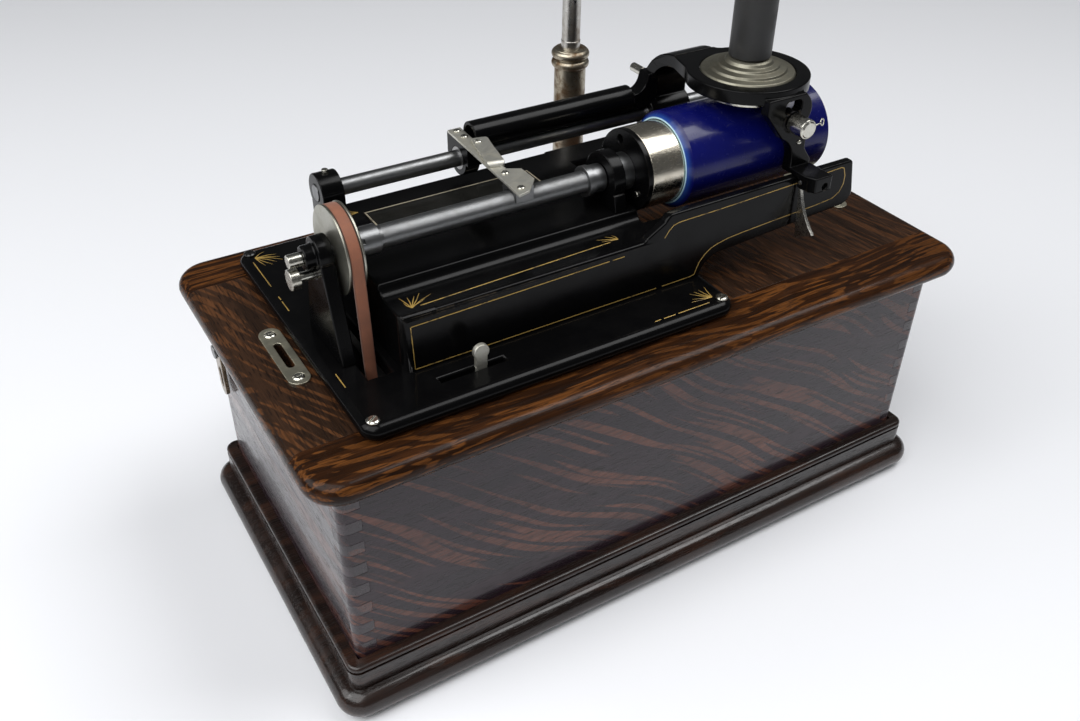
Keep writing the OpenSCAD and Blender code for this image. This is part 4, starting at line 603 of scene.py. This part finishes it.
# edges are eased on a copy of each of these nodes, by this many millimetres
easedEdges = {
    "bedplate": 1.2, "pivot_bracket": 1.0, "centre_bearing": 0.7, "rod_posts": 0.7, "carriage_arm": 0.8,
    "carriage_cover": 0.5, "mandrel_head": 0.4, "mandrel": 0.4, "pulley": 0.4, "main_shaft": 0.25,
    "record": 0.25, "catch_plates": 0.25, "catch_plate_screws": 0.15, "bedplate_screws": 0.2,
    "half_nut_spring": 0.25, "half_nut": 0.2, "finger_tab": 0.35, "half_nut_screws": 0.12,
    "reproducer_case": 0.25, "floating_weight": 0.3, "leg_screw": 0.5, "lift_lever": 0.15,
    "start_lever": 0.5, "crank_arm": 0.7, "crank_grip": 0.4, "crank_rose": 0.4, "crane_brackets": 0.8,
    "crane_tube": 0.3, "crane_rod": 0.4, "front_wall": 0.25, "rear_wall": 0.25, "left_wall": 0.25,
    "right_wall": 0.25, "bottom_board": 0.4, "deck_front_rail": 0.2, "deck_rear_rail": 0.2,
    "deck_left_end": 0.2, "deck_right_end": 0.2, "deck_hook": 0.3, "deck_hook_screw": 0.3,
    "pivot_screw": 0.3, "post_screws": 0.3, "mandrel_screws": 0.25, "carriage_pin": 0.4, "back_rod": 0.3,
    "horn_connector": 0.8, "lift_pin": 0.2,
}
easing = {"sharp": 34, "flat": 0.6, "mergeFirst": 0.000005, "mergeLast": 0.00001, "segments": 2, "stray": 0.0006}

# the rail's front carries on the lean of the housing wall, so the two read as one cast face
wallFoot = {"y": -66, "z": 187, "lean": 2 / 39}
railFront = {"startX": 0.0085, "nearY": -0.0662, "farY": -0.06398, "lowZ": 0.186}


def leanRail(mesh):
    for vertex in mesh.vertices:
        inside = railFront["nearY"] < vertex.co.y < railFront["farY"] and vertex.co.z > railFront["lowZ"]
        if inside and vertex.co.x > railFront["startX"]:
            vertex.co.y = wallFoot["y"] / 1000 + (vertex.co.z - wallFoot["z"] / 1000) * wallFoot["lean"]


# the case's four upright corners are well rounded, across the finger joints
caseCorner = {"walls": ("front_wall", "rear_wall", "left_wall", "right_wall"), "radius": 0.0055, "segments": 5,
              "near": 0.00005}
cornerSpots = [v.co.copy() for n in caseCorner["walls"] for v in nodes[n].data.vertices]
caseEnds = {"x": (min(c.x for c in cornerSpots), max(c.x for c in cornerSpots)),
            "y": (min(c.y for c in cornerSpots), max(c.y for c in cornerSpots))}


def atCorner(spot):
    return (min(abs(spot.x - e) for e in caseEnds["x"]) < caseCorner["near"]
            and min(abs(spot.y - e) for e in caseEnds["y"]) < caseCorner["near"])


def roundCorners(mesh):
    bpy.ops.mesh.select_all(action="DESELECT")
    editDone()
    for edge in mesh.edges:
        first, last = (mesh.vertices[i].co for i in edge.vertices)
        upright = (first - last).to_2d().length < caseCorner["near"]
        edge.select = atCorner(first) and atCorner(last) and upright
    bpy.ops.object.mode_set(mode="EDIT")
    bpy.ops.mesh.select_mode(type="EDGE")
    bpy.ops.mesh.bevel(offset=caseCorner["radius"], segments=caseCorner["segments"], affect="EDGES",
                       clamp_overlap=False)
    bpy.ops.mesh.select_all(action="SELECT")


# on the casting only the outward edges are eased, so that its inner corners stay dark
def markOutward(mesh):
    sides = {}
    for face in mesh.polygons:
        for key in face.edge_keys:
            sides.setdefault(key, []).append(face)
    weights = mesh.attributes.new("bevel_weight_edge", "FLOAT", "EDGE")
    for edge in mesh.edges:
        pair = sides.get(edge.key, [])
        if len(pair) == 2 and pair[0].normal.angle(pair[1].normal, 0) > math.radians(easing["sharp"]):
            outward = (pair[1].center - pair[0].center).dot(pair[0].normal) < 0
            weights.data[edge.index].value = 1.0 if outward else 0.0


def joinFlat(merge):
    bpy.ops.mesh.remove_doubles(threshold=merge)
    bpy.ops.mesh.dissolve_limited(angle_limit=math.radians(easing["flat"]))


def easeNode(name, width):
    casting = name == "bedplate"
    mesh = nodes[name].data.copy()
    if casting:
        leanRail(mesh)
    piece = bpy.data.objects.new(name + "_eased", mesh)
    scene.collection.objects.link(piece)
    pickOnly(piece)
    editAll()
    joinFlat(easing["mergeFirst"])
    if name in caseCorner["walls"]:
        roundCorners(mesh)
    bpy.ops.mesh.quads_convert_to_tris(quad_method="BEAUTY", ngon_method="BEAUTY")
    editDone()
    skin = BVHTree.FromPolygons([v.co for v in mesh.vertices], [tuple(f.vertices) for f in mesh.polygons])
    if casting:
        markOutward(mesh)
    useModifier(piece, "BEVEL", width=width / 1000, segments=easing["segments"],
                limit_method="WEIGHT" if casting else "ANGLE", angle_limit=math.radians(easing["sharp"]),
                use_clamp_overlap=False, loop_slide=False)
    for vertex in piece.data.vertices:
        spot, _, _, away = skin.find_nearest(vertex.co)
        if away > easing["stray"] * width:
            vertex.co = spot
    editAll()
    joinFlat(easing["mergeLast"])
    editDone()
    smooth(easing["sharp"])
    useModifier(piece, "WEIGHTED_NORMAL", keep_sharp=True)
    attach(piece, bodyOf[name])
    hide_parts(name)
    return piece


for name in nodes:
    piece = easeNode(name, easedEdges[name]) if name in easedEdges else nodes[name]
    dress(piece, finishes[name] if name in finishes else finishes[slotOf[name]])
print("nodes dressed:", len(nodes))


# leather belt: a loop drawn round both pulleys, widened, thickened and rounded
beltShape = {"width": 0.0066, "thick": 0.0016, "top": (shaftAxis["y"], shaftAxis["z"]), "topRadius": 0.0226,
             "low": (-0.034, 0.12795), "lowRadius": 0.0151, "steps": 72, "edge": 0.0005, "edgeSegments": 3,
             "edgeAngle": 50, "smooth": 40}


def beltLoop():
    top, low = Vector(beltShape["top"]), Vector(beltShape["low"])
    span = low - top
    lean = math.atan2(span.y, span.x)
    opening = math.acos((beltShape["topRadius"] - beltShape["lowRadius"]) / span.length)
    arcs = ((top, beltShape["topRadius"], lean + opening, lean + 2 * math.pi - opening),
            (low, beltShape["lowRadius"], lean - opening, lean + opening))
    points = []
    for centre, radius, start, stop in arcs:
        for i in range(beltShape["steps"] + 1):
            angle = start + (stop - start) * i / beltShape["steps"]
            points.append((centre.x + radius * math.cos(angle), centre.y + radius * math.sin(angle)))
    return points


def makeBelt():
    points = beltLoop()
    left = beltMiddle - beltShape["width"] / 2
    pickNothing()
    bpy.ops.mesh.primitive_circle_add(vertices=len(points))
    belt = bpy.context.object
    for vertex, (y, z) in zip(belt.data.vertices, points):
        vertex.co = (left, y, z)
    editAll()
    bpy.ops.mesh.extrude_region_move(TRANSFORM_OT_translate={"value": (beltShape["width"], 0, 0)})
    bpy.ops.mesh.select_all(action="SELECT")
    bpy.ops.mesh.normals_make_consistent(inside=False)
    editDone()
    useModifier(belt, "SOLIDIFY", thickness=beltShape["thick"], offset=0)
    useModifier(belt, "BEVEL", width=beltShape["edge"], segments=beltShape["edgeSegments"], limit_method="ANGLE",
                angle_limit=math.radians(beltShape["edgeAngle"]))
    smooth(beltShape["smooth"])
    settle(belt, "leatherBelt", "cabinet", "belt_leather", finishes["belt_leather"], "drive_belt")


# fine thread on the feed screw: one tooth wound along the shaft
threadShape = {"start": -0.1365, "end": -0.0125, "pitch": 0.0005, "root": 0.00632, "crest": 0.00645,
               "steps": 40, "mergeTurn": 0.000002, "mergeAll": 0.000005, "smooth": 20}


def makeThread():
    pitch = threadShape["pitch"]
    pickNothing()
    bpy.ops.mesh.primitive_circle_add(vertices=3)
    thread = bpy.context.object
    tooth = ((0, threadShape["root"]), (pitch / 2, threadShape["crest"]), (pitch, threadShape["root"]))
    for vertex, (x, y) in zip(thread.data.vertices, tooth):
        vertex.co = (x, y, 0)
    for edge in thread.data.edges:
        edge.select = set(edge.vertices) == {0, 2}
    bpy.ops.object.mode_set(mode="EDIT")
    bpy.ops.mesh.select_mode(type="EDGE")
    bpy.ops.mesh.delete(type="EDGE")
    editDone()
    turns = int((threadShape["end"] - threadShape["start"]) / pitch)
    useModifier(thread, "SCREW", axis="X", angle=2 * math.pi, screw_offset=pitch, iterations=turns,
                steps=threadShape["steps"], render_steps=threadShape["steps"], use_merge_vertices=True,
                merge_threshold=threadShape["mergeTurn"])
    editAll()
    bpy.ops.mesh.remove_doubles(threshold=threadShape["mergeAll"])
    bpy.ops.mesh.normals_make_consistent(inside=False)
    editDone()
    smooth(threadShape["smooth"])
    thread.location = (threadShape["start"], shaftAxis["y"], shaftAxis["z"])
    settle(thread, "feedThread", "main_shaft", "steel", finishes["steel"])


def newCurve(radius, resolution):
    pickNothing()
    bpy.ops.curve.primitive_nurbs_path_add()
    drawing = bpy.context.object.data
    drawing.splines.clear()
    drawing.bevel_depth = radius
    drawing.bevel_resolution = resolution
    drawing.use_fill_caps = True
    return drawing


def addStroke(drawing, spots, widths):
    stroke = drawing.splines.new("POLY")
    stroke.points.add(len(spots) - 1)
    for point, spot, width in zip(stroke.points, spots, widths):
        point.co = (*spot, 1)
        point.radius = width


def curveToMesh():
    bpy.ops.object.convert(target="MESH")
    return bpy.context.object


# gilt lines and corner sprays, painted on the casting: millimetres on each face, three points make a tapering leaf
giltLines = {
    "ledge": {"face": "top", "height": 220, "lines": [
        [(-133, -57.2), (-14, -53.2)],
        [(-137.7, -57.2), (-138.6, -51), (-139.8, -46)], [(-137.7, -57.2), (-131, -53.2), (-123.5, -50.2)],
        [(-137.7, -57.2), (-136.4, -52), (-135.8, -47.5)], [(-137.7, -57.2), (-134.4, -51.5), (-132, -47.8)],
        [(-137.7, -57.2), (-132.5, -51.8), (-128.6, -46.6)],
        [(-137.7, -57.2), (-139.2, -54), (-139.6, -51.2)], [(-134.6, -55.4), (-131, -54), (-128, -52.6)],
        [(-8.6, -52.6), (-14, -50), (-19.5, -47.6)], [(-8.6, -52.6), (-14.5, -51.4), (-18, -50.6)],
        [(-8.6, -52.6), (-10.6, -49.6), (-13.5, -47)], [(-8.6, -52.6), (-8.2, -50), (-9.4, -47.2)]]},
    "flange": {"face": "top", "height": 187, "lines": [
        [(-178.2, 80), (-178.2, 49)], [(-178.2, 37), (-178.2, 33)], [(-178.2, 31), (-178.2, 20)],
        [(-178.2, -47), (-178.2, -60)],
        [(-175.6, 84.4), (-168, 80.5), (-161.5, 74.6)], [(-175.6, 84.4), (-168, 84), (-163, 82.6)],
        [(-175.6, 84.4), (-172.5, 78), (-169, 72.6)], [(-175.6, 84.4), (-172, 87.5), (-168.6, 89)],
        [(-175.6, 84.4), (-174.5, 78), (-173, 73)], [(-175.6, 84.4), (-168.5, 82), (-162.2, 79)],
        [(-175.6, 84.4), (-170, 79.5), (-165.6, 73.8)],
        [(30, -91.2), (8, -91.2)], [(6, -91.2), (-2, -91.2)], [(-4, -91.2), (-8, -91.2)],
        [(35, -87.4), (30, -83.5), (25.5, -78.6)], [(35, -87.4), (29, -85.8), (23.6, -83.8)],
        [(35, -87.4), (33.4, -82.5), (32.6, -77.6)], [(35, -87.4), (36, -82), (37.4, -77)],
        [(35, -87.4), (28, -87), (21.5, -86)], [(35, -87.4), (31.4, -83), (29, -78)]]},
    "houseTop": {"face": "top", "height": 226, "lines": [
        [(-125.4, 38), (-130, 40), (-135.5, 40.8)], [(-125.4, 38), (-130, 37), (-134, 35)],
        [(-125.4, 38), (-128.5, 41), (-130.5, 44.5)], [(-125.4, 38), (-130.5, 38.6), (-135, 38)]]},
    "wall": {"face": "wall", "height": 0, "lines": [
        [(-142.4, 213.8), (-142.0, 188.6), (-141.6, 188.4)], [(-141.6, 188.4), (11, 188.6)],
        [(-142.2, 214), (-100, 214.6), (-60, 215.2), (-22, 215.8)], [(-20, 215.8), (-12, 215.9)]]},
    "rail": {"face": "wall", "height": 0, "lines": [
        [(15.2, 188.6), (35.5, 188.8), (38.6, 189.4), (40, 193), (42, 197), (45.4, 200.6), (49.6, 203.4),
         (54.6, 205), (62, 206.4), (72, 207.2), (100, 208.6), (131, 209.8), (144.5, 211), (149.4, 214),
         (152, 218.5), (152.4, 224), (150.6, 229.4), (148.6, 230.2)],
        [(148.6, 230.2), (124, 229.2), (99, 228.4), (54, 227.2), (32, 227), (24.6, 226.8), (21, 225.8),
         (18, 223.2), (16, 220.4), (15.2, 219.6)]]},
}
plateBorder = {"x": (-122.6, -16.4), "y": (-4.1, 34.1), "height": 226.8, "width": 1.2}
brush = {"width": 0.62, "relief": 0.22, "leaf": (1.0, 0.85, 0.3), "resolution": 2, "smooth": 60, "planeSpot": 200}


def onFace(face, height, u, v):
    if face == "top":
        return Vector((u, v, height)) / 1000
    return Vector((u, wallFoot["y"] + (v - wallFoot["z"]) * wallFoot["lean"], v)) / 1000


def drawLines(name, face, height, lines, width, finish):
    drawing = newCurve(width / 2000, brush["resolution"])
    for line in lines:
        widths = brush["leaf"] if len(line) == 3 else (1.0,) * len(line)
        addStroke(drawing, [onFace(face, height, u, v) for u, v in line], widths)
    piece = curveToMesh()
    facing = Vector((0, 0, 1)) if face == "top" else Vector((0, -1, wallFoot["lean"])).normalized()
    foot = onFace(face, height, 0, brush["planeSpot"])
    for vertex in piece.data.vertices:
        vertex.co -= facing * facing.dot(vertex.co - foot) * (1 - brush["relief"])
    smooth(brush["smooth"])
    settle(piece, name, "cabinet", "gilt_plate", finish)


# wire eye on the thumb screw, and a small round screw in the leg
wireEye = {"centre": (0.1170, -0.0705, 0.2692), "turn": (78, 0, 20), "ring": 0.0019, "wire": 0.00042,
           "ringSegments": 28, "wireSegments": 10, "resolution": 3, "smooth": 50,
           "stem": ((0.1108, -0.0700, 0.2676), (0.1132, -0.0703, 0.2681), (0.1152, -0.0705, 0.2688))}
legDot = {"place": (0.1142, -0.0580, 0.2523), "radius": 0.0015, "height": 0.0009, "cut": -0.0001, "turn": 90,
          "segments": 24, "rings": 12, "smooth": 40}


def makeWireEye():
    pickNothing()
    bpy.ops.mesh.primitive_torus_add(
        location=wireEye["centre"], rotation=tuple(math.radians(t) for t in wireEye["turn"]),
        major_radius=wireEye["ring"], minor_radius=wireEye["wire"],
        major_segments=wireEye["ringSegments"], minor_segments=wireEye["wireSegments"])
    ring = bpy.context.object
    bpy.ops.object.transform_apply(location=True, rotation=True, scale=True)
    stem = newCurve(wireEye["wire"], wireEye["resolution"])
    addStroke(stem, wireEye["stem"], (1.0,) * len(wireEye["stem"]))
    eye = curveToMesh()
    ring.select_set(True)
    bpy.ops.object.join()
    smooth(wireEye["smooth"])
    settle(eye, "wireEye", "leg_screw", "nickel", finishes["nickel"])


def makeLegDot():
    pickNothing()
    bpy.ops.mesh.primitive_uv_sphere_add(segments=legDot["segments"], ring_count=legDot["rings"],
                                         radius=legDot["radius"])
    dot = bpy.context.object
    editAll()
    bpy.ops.mesh.bisect(plane_co=(0, 0, legDot["cut"]), plane_no=(0, 0, 1), clear_inner=True, use_fill=True)
    bpy.ops.mesh.select_all(action="SELECT")
    bpy.ops.transform.resize(value=(1, 1, legDot["height"] / legDot["radius"]))
    editDone()
    dot.rotation_euler = (math.radians(legDot["turn"]), 0, 0)
    dot.location = legDot["place"]
    smooth(legDot["smooth"])
    settle(dot, "legDot", "carriage", "nickel", finishes["nickel"])


makeBelt()
makeThread()
print("belt and thread made")
for name, gilt in giltLines.items():
    drawLines(name + "Gilt", gilt["face"], gilt["height"], gilt["lines"], brush["width"], giltPaint)
(leftX, rightX), (nearY, farY) = plateBorder["x"], plateBorder["y"]
borderLoop = [(leftX, nearY), (leftX, farY), (rightX, farY), (rightX, nearY), (leftX, nearY)]
drawLines("plateBorder", "top", plateBorder["height"], [borderLoop], plateBorder["width"], creamPaint)
makeWireEye()
makeLegDot()
print("gilt lines and small fittings made")
